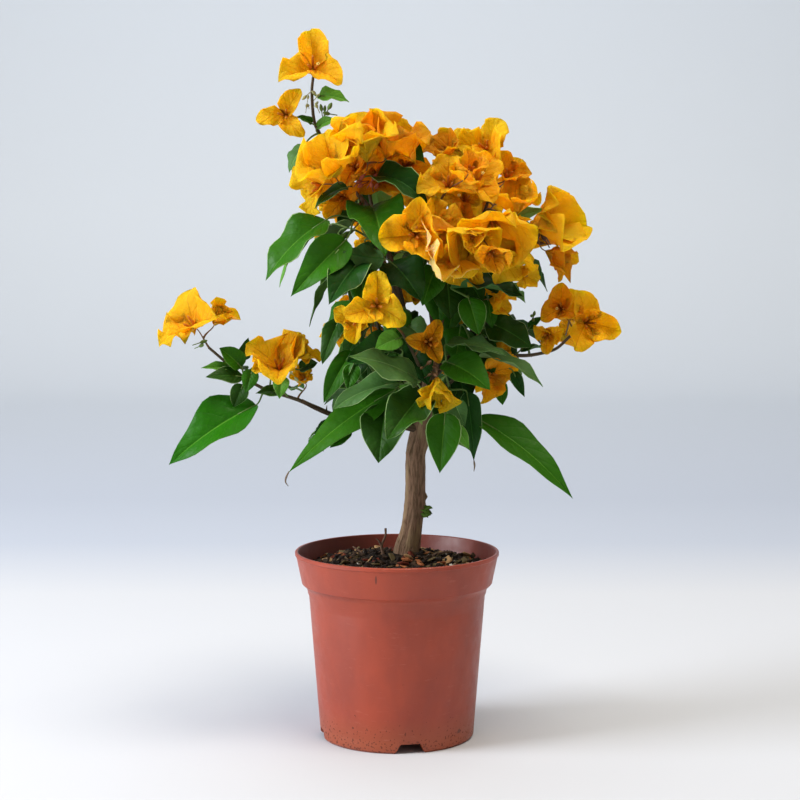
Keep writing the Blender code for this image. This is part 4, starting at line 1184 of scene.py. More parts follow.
    def thicken(self, leaves: int, blooms: int, rng: random.Random, outline: BVHTree,
                blossom: BVHTree) -> None:
        """Smaller leaves and blooms beside the grown ones, and behind them; blooms also among blooms.

        Args:
            leaves: How many leaves there is use for.
            blooms: How many blooms.
            rng: Where the chances come from.
            outline: The crown's blades so far.
            blossom: Its blooms alone.
        """
        middle = sum((Vector(place) for place in self.mass.stem), Vector()) / len(self.mass.stem)
        flowers = [one.thing for one in self.grown if isinstance(one.thing, Bloom)]
        grown = [one.thing for one in self.grown]
        wanted = {Bloom: blooms if flowers else 0, Leaf: leaves}
        for tries in range(sum(wanted.values()) * THICKEN_TRIES):
            turn = tries * GOLDEN_ANGLE
            level = Vector((math.cos(turn), math.sin(turn), rng.uniform(-0.8, 0.8))).normalized()
            if tries % 2 and wanted[Bloom]:
                near = rng.choice(flowers)
                length = rng.uniform(14, min(23, near.length))
                at = Vector(near.at) + level * (near.length * rng.uniform(0.7, 1.1))
                at.y = max(at.y, cad_box[0][1] / MM + 11)
                looks = Vector(near.looks).normalized() + level * 0.7 + Vector((0, 0, rng.uniform(-0.2, 0.4)))
                thing = Bloom(tuple(at), tuple(looks), length, rng.uniform(0, 120), rng.uniform(28, 62))
                places = [at] + [at + direction * length * 0.8 for direction, _, _ in bracts_of(thing)]
            else:
                near = rng.choice(grown)
                base = Vector(near.base if isinstance(near, Leaf) else near.at) + level * rng.uniform(7, 20)
                length = rng.uniform(17, 36)
                out = (base - middle).normalized()
                onward = (out * 0.7 + level * 0.5 + Vector((0, 0, rng.uniform(-1.0, 0.2)))).normalized()
                if onward.y > 0:
                    length = min(length, (cad_box[1][1] / MM + 4 - base.y) / onward.y)
                face = out * rng.uniform(0.2, 1.0) + Vector((0, 0, 0.9))
                width = length * rng.uniform(0.5, 0.66)
                tip = base + onward * length
                thing = Leaf(tuple(base), tuple(tip), width, tuple(face), rng.uniform(15, 55))
                aside = onward.cross(face).normalized() * width / 2
                places = [base, tip, base.lerp(tip, 0.4) + aside, base.lerp(tip, 0.4) - aside]
            among = isinstance(thing, Bloom)
            hidden = all(behind(outline, at) or among and behind(blossom, at, AMONG) for at in places)
            if wanted[type(thing)] and hidden:
                wanted[type(thing)] -= self.add(thing, settle=False)


def outline_of(growths: Sequence[Growth], kinds: type) -> BVHTree:
    """A search tree over every blade of some kinds grown so far, without its stalk."""
    def build(bm: BMesh) -> None:
        """Adds each leaf and bloom on a stub."""
        for one in (one for growth in growths for one in growth.grown if isinstance(one.thing, kinds)):
            end = one.controls[-1]
            stub = ([end - (end - one.controls[-2]).normalized(), end], [one.thin] * 2)
            shape = PlainShape.leaf if isinstance(one.thing, Leaf) else PlainShape.bloom
            shape(bm, one.thing, *stub)

    return tree_of(build)


def behind(outline: BVHTree, place: Vector, ahead: float = -1.0) -> bool:
    """Whether a place, as seen from the front, lies behind an outline, or at most so far ahead of it."""
    start = Vector(FRONT_VIEW) * MM
    away = place * MM - start
    met = outline.ray_cast(start, away)[3]
    return met is not None and met < away.length + ahead * MM


def grow_crown() -> list[Growth]:
    """Grows every mass: the leaves and blooms that have a place, what fills it, then the small growth."""
    fences = [limb_tree(limb) for limb in (TRUNK, *BOUGHS.values())]
    rng = random.Random(SEED)
    growths = [Growth(name, mass, rng) for name, mass in MASSES.items()]
    for filling in (False, True):
        for growth in growths:
            growth.fences = fences + [tree for other in growths if other is not growth for tree in other.own]
            if filling:
                growth.fill()
            for thing in () if filling else growth.mass.blooms + growth.mass.leaves:
                growth.add(thing)
    rng = random.Random(DETAIL_SEED)
    outline, blossom = outline_of(growths, Leaf | Bloom), outline_of(growths, Bloom)
    for growth in growths:
        growth.fine = True
        growth.fences = fences + [tree for other in growths if other is not growth for tree in other.own]
        for thing in growth.mass.inner:
            growth.add(thing)
        growth.thicken(*growth.mass.small, rng, outline, blossom)
        log.info("%s: %d leaves and blooms", growth.name, len(growth.grown))
    return growths


@dataclass
class Bundle:
    """One piece of the object, which many shapes can be joined into."""

    name: str
    finishes: list[Material]  # in slot order
    whole: BMesh = field(default_factory=bmesh.new)

    def add(self, shape: BMesh) -> None:
        """Takes a shape in, and frees it."""
        scrap = bpy.data.meshes.new("scrap")
        bmesh.ops.recalc_face_normals(shape, faces=shape.faces)
        shape.to_mesh(scrap)
        shape.free()
        self.whole.from_mesh(scrap)
        bpy.data.meshes.remove(scrap)

    def add_tube(self, path: Path, radii: Sequence[float], sides: int, slot: int = 0) -> None:
        """Takes in a tapering tube in one of the finishes."""
        bm = bmesh.new()
        tube(bm, path, radii, sides)
        for face in bm.faces:
            face.material_index = slot
        self.add(bm)

    def show(self, stands_for: Sequence[str] = (), sharp_deg: float = 180.0) -> None:
        """Makes the piece, which moves with the object's one body.

        Args:
            stands_for: The CAD nodes that it replaces.
            sharp_deg: Edges sharper than this stay hard.
        """
        mesh = bpy.data.meshes.new(self.name)
        self.whole.to_mesh(mesh)
        self.whole.free()
        for finish in self.finishes:
            mesh.materials.append(finish)
        mesh.shade_smooth()
        if sharp_deg < 180:
            mesh.set_sharp_from_angle(angle=math.radians(sharp_deg))
        made = bpy.data.objects.new(self.name, mesh)
        bpy.context.scene.collection.objects.link(made)
        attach(made, "root")
        if stands_for:
            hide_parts(*stands_for)
        log.info("%s: %d triangles", self.name, sum(len(face.vertices) - 2 for face in mesh.polygons))


def spin_profile(bm: BMesh, profile: Sequence[tuple[float, float]], steps: int) -> None:
    """Spins a profile of (radius, height) pairs about Z, closed where it starts and ends on the axis."""
    verts = [bm.verts.new((r * MM, 0, z * MM)) for r, z in profile]
    edges = [bm.edges.new(pair) for pair in zip(verts, verts[1:])]
    bmesh.ops.spin(bm, geom=verts + edges, axis=UP, cent=(0, 0, 0), angle=math.tau, steps=steps,
                   use_merge=True)
    bmesh.ops.remove_doubles(bm, verts=bm.verts, dist=MERGE * MM)


def held(value: float, low: float = 0.0, high: float = 1.0) -> float:
    """The value, or the end of the range that it would pass."""
    return min(high, max(low, value))


@dataclass
class Pot:
    """The moulded pot: a tapering wall on a notched foot ring, with a deep collar that ends in a thin lip."""

    rim_r: float = 75.0
    height: float = 137.4
    wall: float = 1.5
    wall_top_r: float = 64.8
    wall_top_z: float = 106.0
    collar_z: float = 113.6
    collar_r: float = 70.0
    collar_wall: float = 0.6
    mould_rings: tuple[float, float] = (9.0, 99.0)  # heights of faint steps where the mould's parts meet
    ring_deep: float = 0.12
    foot_r: float = 56.6
    foot_z: float = 1.6
    foot_lift: float = 7.0
    foot_ring: float = 5.0
    pad_r: float = 18.0
    floor: float = 3.0
    notches: int = 4
    notch_turn: float = 10.0
    notch_lift: float = 6.8
    notch_flat: float = 7.4  # degrees either side of a notch's middle that are fully lifted
    notch_end: float = 11.2
    lip_bevel: float = 0.4
    hard_deg: float = 32.0
    around: int = 360
    finish: Finish = MouldedPolypropylene("moulded terracotta polypropylene", "#a54228", 0.42)

    def outer_radius(self, z: float) -> float:
        """Of the tapering wall."""
        share = (z - self.foot_z) / (self.wall_top_z - self.foot_z)
        return self.foot_r + (self.wall_top_r - self.foot_r) * share

    def inner_radius(self, z: float) -> float:
        """Of the pot's inside."""
        floor_r = self.foot_r - self.wall + 0.5
        top_r = self.wall_top_r - self.wall
        low, high = self.foot_lift + self.floor, self.wall_top_z
        if z <= high:
            return floor_r + (top_r - floor_r) * (z - low) / (high - low)
        share = min(1, (z - high) / (self.collar_z + 3 - high))
        return top_r + (self.collar_r - self.collar_wall - top_r) * share

    def profile(self) -> list[tuple[float, float]]:
        """From the middle of the underside, up the outer wall with its mould rings, over the lip and down."""
        foot_r, lift, ring_in = self.foot_r, self.foot_lift, self.foot_r - self.foot_ring
        top_r, top_z = self.wall_top_r, self.wall_top_z
        collar_r, collar_z = self.collar_r, self.collar_z
        rim_r, height = self.rim_r, self.height
        under = [(0, 0), (self.pad_r, 0), (self.pad_r + 1, lift), (ring_in - 1, lift), (ring_in, 0),
                 (foot_r - 1.4, 0), (foot_r, self.foot_z)]
        rings = [(self.outer_radius(z + step) - (0 if step else self.ring_deep), z + step)
                 for z in self.mould_rings for step in (-1, 0, 1)]
        shoulder = [(top_r, top_z - 1), (top_r + 0.9, top_z + 1), (top_r + 1.1, top_z + 3),
                    (top_r + 2.4, collar_z - 1.8), (collar_r - 1.2, collar_z - 0.6),
                    (collar_r, collar_z + 0.6), (collar_r + 0.9, collar_z + 5)]
        lip = [(rim_r - 0.9, height - 3.4), (rim_r - 0.1, height - 2.6), (rim_r - 0.1, height - 0.6),
               (rim_r - 0.6, height), (rim_r - 2.1, height), (rim_r - 2.6, height - 0.9)]
        floor = lift + self.floor
        inside = [(collar_r - self.collar_wall, collar_z + 3), (top_r - self.wall, top_z),
                  (self.inner_radius(floor), floor), (0, floor)]
        return under + rings + shoulder + lip + inside

    def lift_of_notch(self, vert: bmesh.types.BMVert) -> float:
        """How far a vertex of the foot ring rises for the drain notches."""
        turn = math.degrees(math.atan2(vert.co.x, -vert.co.y)) - self.notch_turn
        step = 360 / self.notches
        off = abs((turn + step / 2) % step - step / 2)
        return self.notch_lift * held((self.notch_end - off) / (self.notch_end - self.notch_flat))

    def make(self) -> None:
        """Spins the profile, lifts the notches and softens the hard edges."""
        bm = bmesh.new()
        spin_profile(bm, self.profile(), self.around)
        ring_in = (self.foot_r - self.foot_ring - 0.5) * MM
        for vert in bm.verts:
            if vert.co.xy.length > ring_in and vert.co.z < self.foot_lift * MM / 2:
                vert.co.z = max(vert.co.z, self.lift_of_notch(vert) * MM + vert.co.z * 0.1)
        edge_z = (self.height - MERGE) * MM
        rim = [edge for edge in bm.edges if all(v.co.z > edge_z for v in edge.verts)
               and abs(edge.verts[0].co.xy.length - edge.verts[1].co.xy.length) < 0.1 * MM]
        bmesh.ops.bevel(bm, geom=rim, offset=self.lip_bevel * MM, offset_type="OFFSET", affect="EDGES",
                        segments=2, profile=0.5, material=-1)
        bmesh.ops.recalc_face_normals(bm, faces=bm.faces)
        Bundle("pot_moulding", [self.finish.make()], bm).show(["pot"], self.hard_deg)


class Litter(Enum):
    """What lies on the soil: a colour, the least and greatest length in mm, flatness, and how many."""

    PEAT = ("#21160f", 2.5, 7.5, 0.6, 430)
    FIBRE = ("#443224", 2.5, 8.5, 0.45, 250)
    LEAF_MOULD = ("#6a5a3a", 4.5, 11.0, 0.3, 66)
    DUST = ("#8a745a", 1.5, 4.0, 0.6, 110)
    TAN_BARK = ("#b08a5e", 5.0, 13.0, 0.3, 44)
    ORANGE_BARK = ("#a4643c", 4.5, 12.0, 0.3, 26)
    RED_BARK = ("#70301f", 3.5, 10.0, 0.4, 32)
    PERLITE = ("#d8d0c2", 1.6, 4.0, 0.8, 32)


@dataclass
class Soil:
    """The filled pot's mound, uneven and covered in crumbs, chips and dry twigs."""

    pot: Pot
    edge_z: float = 124.0
    crown_z: float = 133.5
    flat_r: float = 16.0
    lumps: float = 2.0
    lump_size: float = 9.0
    around: int = 160
    circles: int = 44
    ground: Finish = PottingSoil("damp potting soil", "#1f150e", 0.95)
    # A dead shoot left of the trunk, with a broken knob on top and a stub at its side, and three that lean
    twigs: tuple[tuple[tuple[Point, ...], tuple[float, ...]], ...] = (
        (((-11, -4, 127), (-10, -3, 134), (-11.5, -2, 141), (-8.6, -2, 148), (-8.4, -2, 154)),
         (1.5, 1.3, 1.1, 0.8, 0.9)),
        (((-11.5, -2, 141), (-13.5, -3, 145), (-15.5, -3, 146.5)), (0.9, 0.7, 0.35)),
        (((-18, 8, 128), (-26, 14, 133), (-33, 18, 137)), (0.8, 0.9, 0.5)),
        (((20, -6, 128), (27, 0, 134), (35, 2, 135.5)), (0.7, 0.7, 0.4)),
        (((24, 14, 129), (33, 9, 134), (42, 10, 134)), (0.6, 0.7, 0.4)),
    )

    def height_at(self, x: float, y: float) -> float:
        """Of the mound under a place."""
        away = math.hypot(x, y)
        foot = self.pot.inner_radius(self.edge_z) - 1
        fall = held((away - self.flat_r) / (foot - self.flat_r))
        lump = noise.fractal(Vector((x, y, 3.0)) / self.lump_size, 0.6, 2.1, 4) * self.lumps
        return self.crown_z - (self.crown_z - self.edge_z) * fall ** 1.25 + lump * held(away / 30, 0.35)

    def mound(self) -> None:
        """The solid body of soil, with an uneven top."""
        pot, edge_z = self.pot, self.edge_z
        bottom = pot.foot_lift + pot.floor + GAP
        heights = ((bottom, 0.6), (pot.wall_top_z, 0.6), (edge_z - 3, 0.5))
        wall = [(pot.inner_radius(z) - gap, z) for z, gap in heights]
        edge = pot.inner_radius(edge_z) - 0.4
        top = [(edge * (1 - step / self.circles), edge_z) for step in range(self.circles + 1)]
        bm = bmesh.new()
        spin_profile(bm, [(0, bottom)] + wall + top, self.around)
        for vert in bm.verts:
            if vert.co.z > (edge_z - 0.1) * MM:
                vert.co.z = self.height_at(vert.co.x / MM, vert.co.y / MM) * MM
        bmesh.ops.recalc_face_normals(bm, faces=bm.faces)
        Bundle("soil_mound", [self.ground.make()], bm).show(["soil"], 60)

    def chip(self, rng: random.Random, kind: Litter) -> BMesh:
        """One broken chip: a block with its corners knocked about and its edges taken off."""
        _, least, most, flat, _ = kind.value
        length = rng.uniform(least, most)
        size = Vector((length, length * rng.uniform(0.4, 0.8), length * flat * rng.uniform(0.4, 0.8)))
        away = (self.pot.inner_radius(self.edge_z) - 2.5) * math.sqrt(rng.uniform(0.02, 1))
        turn = rng.uniform(0, math.tau)
        x, y = away * math.cos(turn), away * math.sin(turn)
        bm = bmesh.new()
        bmesh.ops.create_cube(bm, size=1)
        for vert in bm.verts:
            vert.co = Vector(part * (1 + rng.uniform(-0.6, 0.3)) * side for part, side in zip(vert.co, size))
        bmesh.ops.bevel(bm, geom=bm.edges[:], offset=length * 0.07, offset_type="OFFSET", affect="EDGES",
                        segments=1, profile=0.5, material=-1)
        for axis, reach in (("X", 0.7), ("Y", 0.7), ("Z", math.pi)):
            tilt = Matrix.Rotation(rng.uniform(-reach, reach), 3, axis)
            bmesh.ops.rotate(bm, verts=bm.verts, cent=(0, 0, 0), matrix=tilt)
        bmesh.ops.translate(bm, verts=bm.verts, vec=(x, y, self.height_at(x, y) + size.z * 0.3))
        bmesh.ops.scale(bm, verts=bm.verts, vec=(MM, MM, MM))
        return bm

    def litter(self) -> None:
        """Every kind of chip, each kind joined into one piece."""
        rng = random.Random(DETAIL_SEED)
        for kind in Litter:
            colour, *_, count = kind.value
            finish = Crumb(f"{kind.name.lower()} crumb".replace("_", " "), colour, 0.9)
            heap = Bundle(f"litter_{kind.name.lower()}", [finish.make()])
            for _ in range(count):
                heap.add(self.chip(rng, kind))
            heap.show(sharp_deg=30)

    def dry_twigs(self) -> None:
        """The dead shoots stuck in the soil."""
        bundle = Bundle("dry_twigs", [Crumb("dead twig", "#6d5443", 0.85).make()])
        for points, radii in self.twigs:
            path = smooth_path(points, 4)
            bundle.add_tube(path, along(radii, len(path)), 7)
        bundle.show()


@dataclass
class Wood:
    """The trunk and the boughs as smooth limbs in ridged bark, swollen where one springs from another."""

    trunk_sides: int = 56
    trunk_steps: int = 12
    trunk_start_z: float = 129.0
    bough_sides: int = 18
    bough_steps: int = 8
    ridge: float = 0.35
    lumps: float = 0.55
    root_flare: float = 0.16
    collar: float = 0.45  # how much a bough swells where it springs from the wood
    collar_deep: float = 6.0  # how far it starts inside that wood
    trunk_finish: Finish = Bark("tan vine bark", "#8a6b54", 0.82)
    bough_finish: Finish = Bark("brown bough bark", "#54422f", 0.8, groove="#33271b", ridge="#7b674c",
                                patch="#4a5030")
    # The trunk's knots: where they are, how broad, and how high as a share of its radius
    knots: tuple[tuple[Point, float, float], ...] = (
        ((4.6, 4.0, 158.5), 2.2, 0.35), ((6.6, 3.4, 209), 2.4, 0.4), ((19.5, 8.0, 166), 4.0, 0.3),
        ((20.5, 8.0, 176), 2.0, 0.3), ((15, 3.0, 181), 3.5, 0.16), ((21, 12, 214), 4.0, 0.2),
    )
    # Boughs that carry straight on from other wood, by how far they start inside it and how much they swell
    carried_on: dict[str, tuple[float, float]] = field(
        default_factory=lambda: {"bough_upper_right": (1.5, 0.05), "bough_top": (7.0, 0.0)})

    def limb(self, points: Sequence[Point], radii: Sequence[float], sides: int, steps: int,
             swell: Callable[[float, Vector], float]) -> BMesh:
        """A smooth limb with its bark's ridges and lumps.

        Args:
            points: The limb's places.
            radii: Its radius at each.
            sides: Of its cross-section.
            steps: Between each two places.
            swell: The radius is multiplied by this function of (distance along, place on the skin).

        Returns:
            Its mesh, with the grain attribute.
        """
        bm = bmesh.new()
        grain = bm.verts.layers.float_vector.new(GRAIN)
        path = smooth_path(points, steps)
        sizes = [radius.x for radius in smooth_path([(r, 0, 0) for r in radii], steps)]
        rings = tube_rings(bm, path, sizes, sides, Vector(FRONT))
        skin(bm, rings)
        for end in (rings[0], rings[-1]):
            bmesh.ops.contextual_create(bm, geom=end)
        run = 0.0
        for index, (loop, centre, size) in enumerate(zip(rings, path, sizes)):
            run += (centre - path[index - 1]).length if index else 0.0
            for number, vert in enumerate(loop):
                turn = math.tau * number / sides
                x, y = math.cos(turn) * size, math.sin(turn) * size
                vert[grain] = Vector((x, y, run)) * MM
                ridges = noise.fractal(Vector((x * 0.75, y * 0.75, run * 0.07)), 0.7, 2.0, 3) * self.ridge
                lump = noise.noise(Vector((x * 0.11, y * 0.11, run * 0.06))) * self.lumps * min(1, size / 5)
                out = vert.co / MM - centre
                vert.co = (centre + out * (swell(run, vert.co / MM) + (ridges + lump) / size)) * MM
        return bm

    def trunk(self) -> None:
        """The trunk, flared at the soil, with its knots."""
        foot = Vector(TRUNK.points[0])

        def swell(run: float, at: Vector) -> float:
            """The root flare, wavy round the foot, and the knots."""
            turn = math.atan2(at.y - foot.y, at.x - foot.x)
            flare = self.root_flare * math.exp(-run / 5) * (1 + 0.6 * math.sin(3 * turn + 0.7))
            return 1 + flare + sum(high * math.exp(-((at - Vector(place)).length / size) ** 2)
                                   for place, size, high in self.knots)

        points = ((foot.x, foot.y, self.trunk_start_z),) + TRUNK.points[1:]
        bundle = Bundle("trunk_bark", [self.trunk_finish.make()])
        bundle.add(self.limb(points, TRUNK.radii, self.trunk_sides, self.trunk_steps, swell))
        bundle.show(["trunk"])

    def boughs(self) -> None:
        """The boughs, each started inside the wood that carries it and swollen into a collar there."""
        bundle = Bundle("bough_bark", [self.bough_finish.make()])
        for name, limb in BOUGHS.items():
            deep, collar = self.carried_on.get(name, (self.collar_deep, self.collar))
            start, second = (Vector(point) for point in limb.points[:2])
            back = start - (second - start).normalized() * deep

            def swell(run: float, at: Vector, deep: float = deep, collar: float = collar) -> float:
                """The collar."""
                return 1 + collar * math.exp(-max(0.0, run - deep + 3) / 4)

            points, radii = (tuple(back), *limb.points), (limb.radii[0], *limb.radii)
            bundle.add(self.limb(points, radii, self.bough_sides, self.bough_steps, swell))
        bundle.show(list(BOUGHS))


class LeafTint(Enum):
    """A spray's greens: the upper side, the under side and the midrib."""

    DEEP = ("#23490b", "#4f7632", "#3c6a22")
    RICH = ("#2d6509", "#5a8430", "#4e8424")
    DARK = ("#18420f", "#426a34", "#306124")
    FRESH = ("#59942d", "#82b052", "#7ab44c")
    # pale greys that paint the sheen on leaves that catch the light
    DUSTY = ("#4c743a", "#6e8e56", "#729a58")
    BRIGHT = ("#226404", "#5a8630", "#4c8a22")


class BractTint(Enum):
    """A bloom's golds: throat, inner, outer, midrib and the under side. The throat and inner golds are
    deeper, partly the bract's own tone and partly painted shade.
    """

    GOLDEN = ("#d0740c", "#e88e10", "#f19b13", "#d8820d", "#f19b16")
    # a deeper orange: partly the bracts' own tone, partly painted shade on blooms within the crown
    AMBER = ("#c1610c", "#de7a10", "#ea8813", "#cb6d0d", "#e98a16")
    YELLOW = ("#da830d", "#ed9911", "#f4a714", "#e2900e", "#f4a318")
    PEACH = ("#e2850e", "#f39a1e", "#f9a832", "#e89020", "#fbbf74")
    OLIVE = ("#a0700c", "#b8860e", "#c79410", "#98720c", "#bc8c10")
    BRONZE = ("#8f4c06", "#b06608", "#c4790c", "#965409", "#b8700c")


# Leaves and blooms whose tint is set, by the x and z of a leaf's point or a bloom's place
SET_TINTS = {
    LeafTint.RICH: ((-92, 337), (-74, 326), (-8, 354), (20, 419), (-76, 203), (30, 202), (65, 261),
                    (125, 182), (58, 298)),
    LeafTint.DARK: ((-47, 321), (17, 323), (21, 389), (-35, 280), (55, 207), (90, 325)),
    LeafTint.DEEP: ((-58, 387), (-7, 228), (-13, 210), (98, 287), (-53, 277)),
    # leaves given the painted pale sheen
    LeafTint.DUSTY: ((-77, 413), (-33, 286), (-45, 247), (48, 234), (77, 284), (104, 261)),
    LeafTint.FRESH: ((-34, 463),),
    LeafTint.BRIGHT: ((-162, 206),),
    BractTint.GOLDEN: ((-60, 487), (-80, 454), (13, 369), (66, 380), (-144, 302), (-131, 304), (-84, 272),
                       (139, 304)),
    # amber is partly painted shade here, on the blooms set within the crown
    BractTint.AMBER: ((-8, 423), (107, 357), (-14, 411), (-38, 396), (5, 417), (-30, 416), (64, 270),
                      (121, 314)),
    BractTint.YELLOW: ((-43, 409), (-21, 420), (-54, 404), (100, 371), (86, 342), (64, 430), (50, 374),
                       (-14, 320)),
    BractTint.PEACH: ((24, 350),),
    BractTint.OLIVE: ((28, 270),),
    BractTint.BRONZE: ((36, 424), (22, 294)),
}

# Blooms whose bracts have a set width, of their length
BRACT_WIDTHS = {
    (-60, 487): 0.84, (-80, 454): 0.66, (-144, 302): 0.9, (28, 270): 0.92, (22, 294): 0.8, (-14, 320): 0.86,
    (-21, 420): 1.12, (-43, 409): 1.05, (-8, 423): 1.05, (100, 371): 1.06, (66, 380): 1.08, (50, 374): 1.06,
    (-84, 272): 1.08,
}


class Bud(Enum):
    """The colours of the buds and of a dead leaf point."""

    CREAM = "#b4bb82"
    RED = "#a04a30"
    BROWN = "#5a3d1e"
    GREEN = "#5d7c33"
    DEAD = "#6e5f4c"


# Groups of buds: their kind, the group's middle, its half-size each way, how many, and their length
BUDS = (
    (Bud.CREAM, (-58, -8, 464), (7, 3, 5), 8, 4.5), (Bud.GREEN, (-52, -9, 455), (4, 2, 4), 4, 5.0),
    (Bud.RED, (-20, -36, 402), (7, 3, 6), 6, 5.0), (Bud.BROWN, (-25, -32, 392), (4, 3, 6), 4, 5.0),
    (Bud.BROWN, (24, -60, 276), (8, 3, 5), 6, 5.0), (Bud.CREAM, (62, -24, 413), (2, 2, 2), 2, 5.0),
    (Bud.CREAM, (-72, -26, 268), (8, 3, 4), 5, 3.5), (Bud.BROWN, (104, -6, 366), (4, 3, 4), 4, 6.0),
    (Bud.GREEN, (98, 12, 309), (4, 2, 3), 3, 5.0), (Bud.GREEN, (-141, -21, 290), (2, 1, 2), 2, 4.5),
)

# Curled dead points of leaves, from the leaf's point on
DRY_CURLS = (
    ((-75.5, -61.5, 204), (-77.5, -62, 200), (-78, -62, 196.5), (-76, -62, 193.5)),
    ((55, -32, 208), (55.5, -32.5, 204), (55, -32, 200)),
)


def seen_at(place: Sequence[float]) -> tuple[int, int]:
    """Where a place is seen from the front, to the millimetre, which set tints and widths go by."""
    return round(place[0]), round(place[2])


def set_tint(place: Sequence[float], chosen: Enum) -> int:
    """The number, among its kind, of the tint that is set at a place, or else of the chosen one."""
    kind = type(chosen)
    found = [tint for tint in kind if seen_at(place) in SET_TINTS[tint]]
    return list(kind).index(found[0] if found else chosen)


def within_reach(place: Vector) -> Vector:
    """A blade's point, drawn in softly where it would go far past the solids at the back."""
    past = max(0.0, place.y - cad_box[1][1] / MM)
    return place + Vector((0, BACK_ROOM * math.tanh(past / BACK_ROOM) - past, 0))


@dataclass(frozen=True)
class Sheet:
    """What thin blades share: their grid, their thickness, and the bake map's cells that their sides fill."""

    along: int
    halves: tuple[float, ...]  # how far out its lines lie on either side of the middle one, as shares
    thick: float
    cells: int  # along each side of the bake map

    def grid(self, number: int, place: Callable[[float, float], Vector], zone: Callable[[float, float], int],
             under: Callable[[int], int]) -> BMesh:
        """A closed blade from a grid.

        Args:
            number: The blade's own number, for its cells and its pattern.
            place: Where a point of the blade lies, in mm, from its shares along and across.
            zone: The material slot of the upper side there.
            under: The under side's slot for an upper one.

        Returns:
            The mesh, its upper side first, with the bake map and the blade attribute.
        """
        bm = bmesh.new()
        blade = bm.verts.layers.float_vector.new(BLADE)
        bake = bm.loops.layers.uv.new(BAKE_MAP)
        across = (*(-share for share in reversed(self.halves)), 0, *self.halves)
        columns = len(across) - 1
        verts = bmesh.ops.create_grid(bm, x_segments=columns, y_segments=self.along, size=0.5)["verts"]
        for vert in verts:
            s = across[round((vert.co.x + 0.5) * columns)]
            t = 0.5 - 0.5 * math.cos(math.pi * round((vert.co.y + 0.5) * self.along) / self.along)
            vert[blade] = (s, t, number * 0.37)
            vert.co = within_reach(place(t, s)) * MM
        bmesh.ops.remove_doubles(bm, verts=bm.verts, dist=MERGE * MM)
        for face in bm.faces:
            middle = sum((vert[blade] for vert in face.verts), Vector()) / len(face.verts)
            face.material_index = zone(middle.y, middle.x)
        bm.normal_update()
        above = set(bm.verts)
        places = {tuple(vert[blade]): (vert.co.copy(), vert.normal.copy()) for vert in bm.verts}
        bmesh.ops.solidify(bm, geom=bm.faces[:], thickness=self.thick * MM)
        for vert in bm.verts:
            if vert not in above:  # moved straight down, as a sharp point would be thrown far out
                at, normal = places[tuple(vert[blade])]
                vert.co = at - normal * (self.thick * MM * min(1.0, 0.3 + 3 * (1 - vert[blade].y)))
        for face in bm.faces:
            shared = sum(vert in above for vert in face.verts)
            if shared < len(face.verts):
                face.material_index = under(face.material_index)
            cell = 2 * number + (shared == 0)
            corner = Vector((cell % self.cells, cell // self.cells))
            for loop in face.loops:
                s, t, _ = loop.vert[blade]
                inset = 0.02 if 0 < shared < len(face.verts) and loop.vert not in above else 0.06
                spot = Vector((0.5 + s * (0.5 - inset), inset + t * (1 - 2 * inset)))
                loop[bake].uv = (corner + spot) / self.cells
        return bm


@dataclass
class LeafBlade:
    """One fine leaf: folded along its rib, waved along its edges, a little twisted, drawn to its point."""

    leaf: Leaf
    fold: float
    wave: float
    waves: float
    phase: float
    twist: float
    curl: float
    tail: float  # the greater, the longer its drawn-out point

    @classmethod
    def varied(cls, leaf: Leaf, rng: random.Random) -> "LeafBlade":
        """A leaf with its own chance fold, waves, twist, curl and point."""
        return cls(leaf, math.radians(rng.uniform(8, 32)), rng.uniform(0.06, 0.2), rng.uniform(1.1, 2.4),
                   rng.uniform(0, math.tau), math.radians(rng.uniform(-32, 32)), rng.uniform(-0.06, 0.22),
                   rng.uniform(0.92, 1.3))

    def place(self, t: float, s: float) -> Vector:
        """Where a point of the blade lies, from its shares along and across."""
        base, tip = Vector(self.leaf.base), Vector(self.leaf.tip)
        centre, side, up = arched(base, tip, Vector(self.leaf.face), self.leaf.bend, t)
        turn = Matrix.Rotation(self.twist * (t - 0.45), 3, side.cross(up))
        side, up = turn @ side, turn @ up
        half = self.leaf.width / 2 * drawn_outline(t, 0.55, self.tail)
        aside = abs(s)
        ripple = math.sin(math.tau * self.waves * t + self.phase + (1.9 if s > 0 else 0.0))
        lift = aside * half * math.sin(self.fold) * (1.15 - 0.6 * t)
        lift += ripple * self.wave * half * aside ** 2 * 1.6
        lift -= self.curl * half * aside ** 3
        lift -= LEAF_RIB * max(0.0, 1 - aside / 0.07)
        return centre + side * (s * half * math.cos(self.fold)) + up * lift


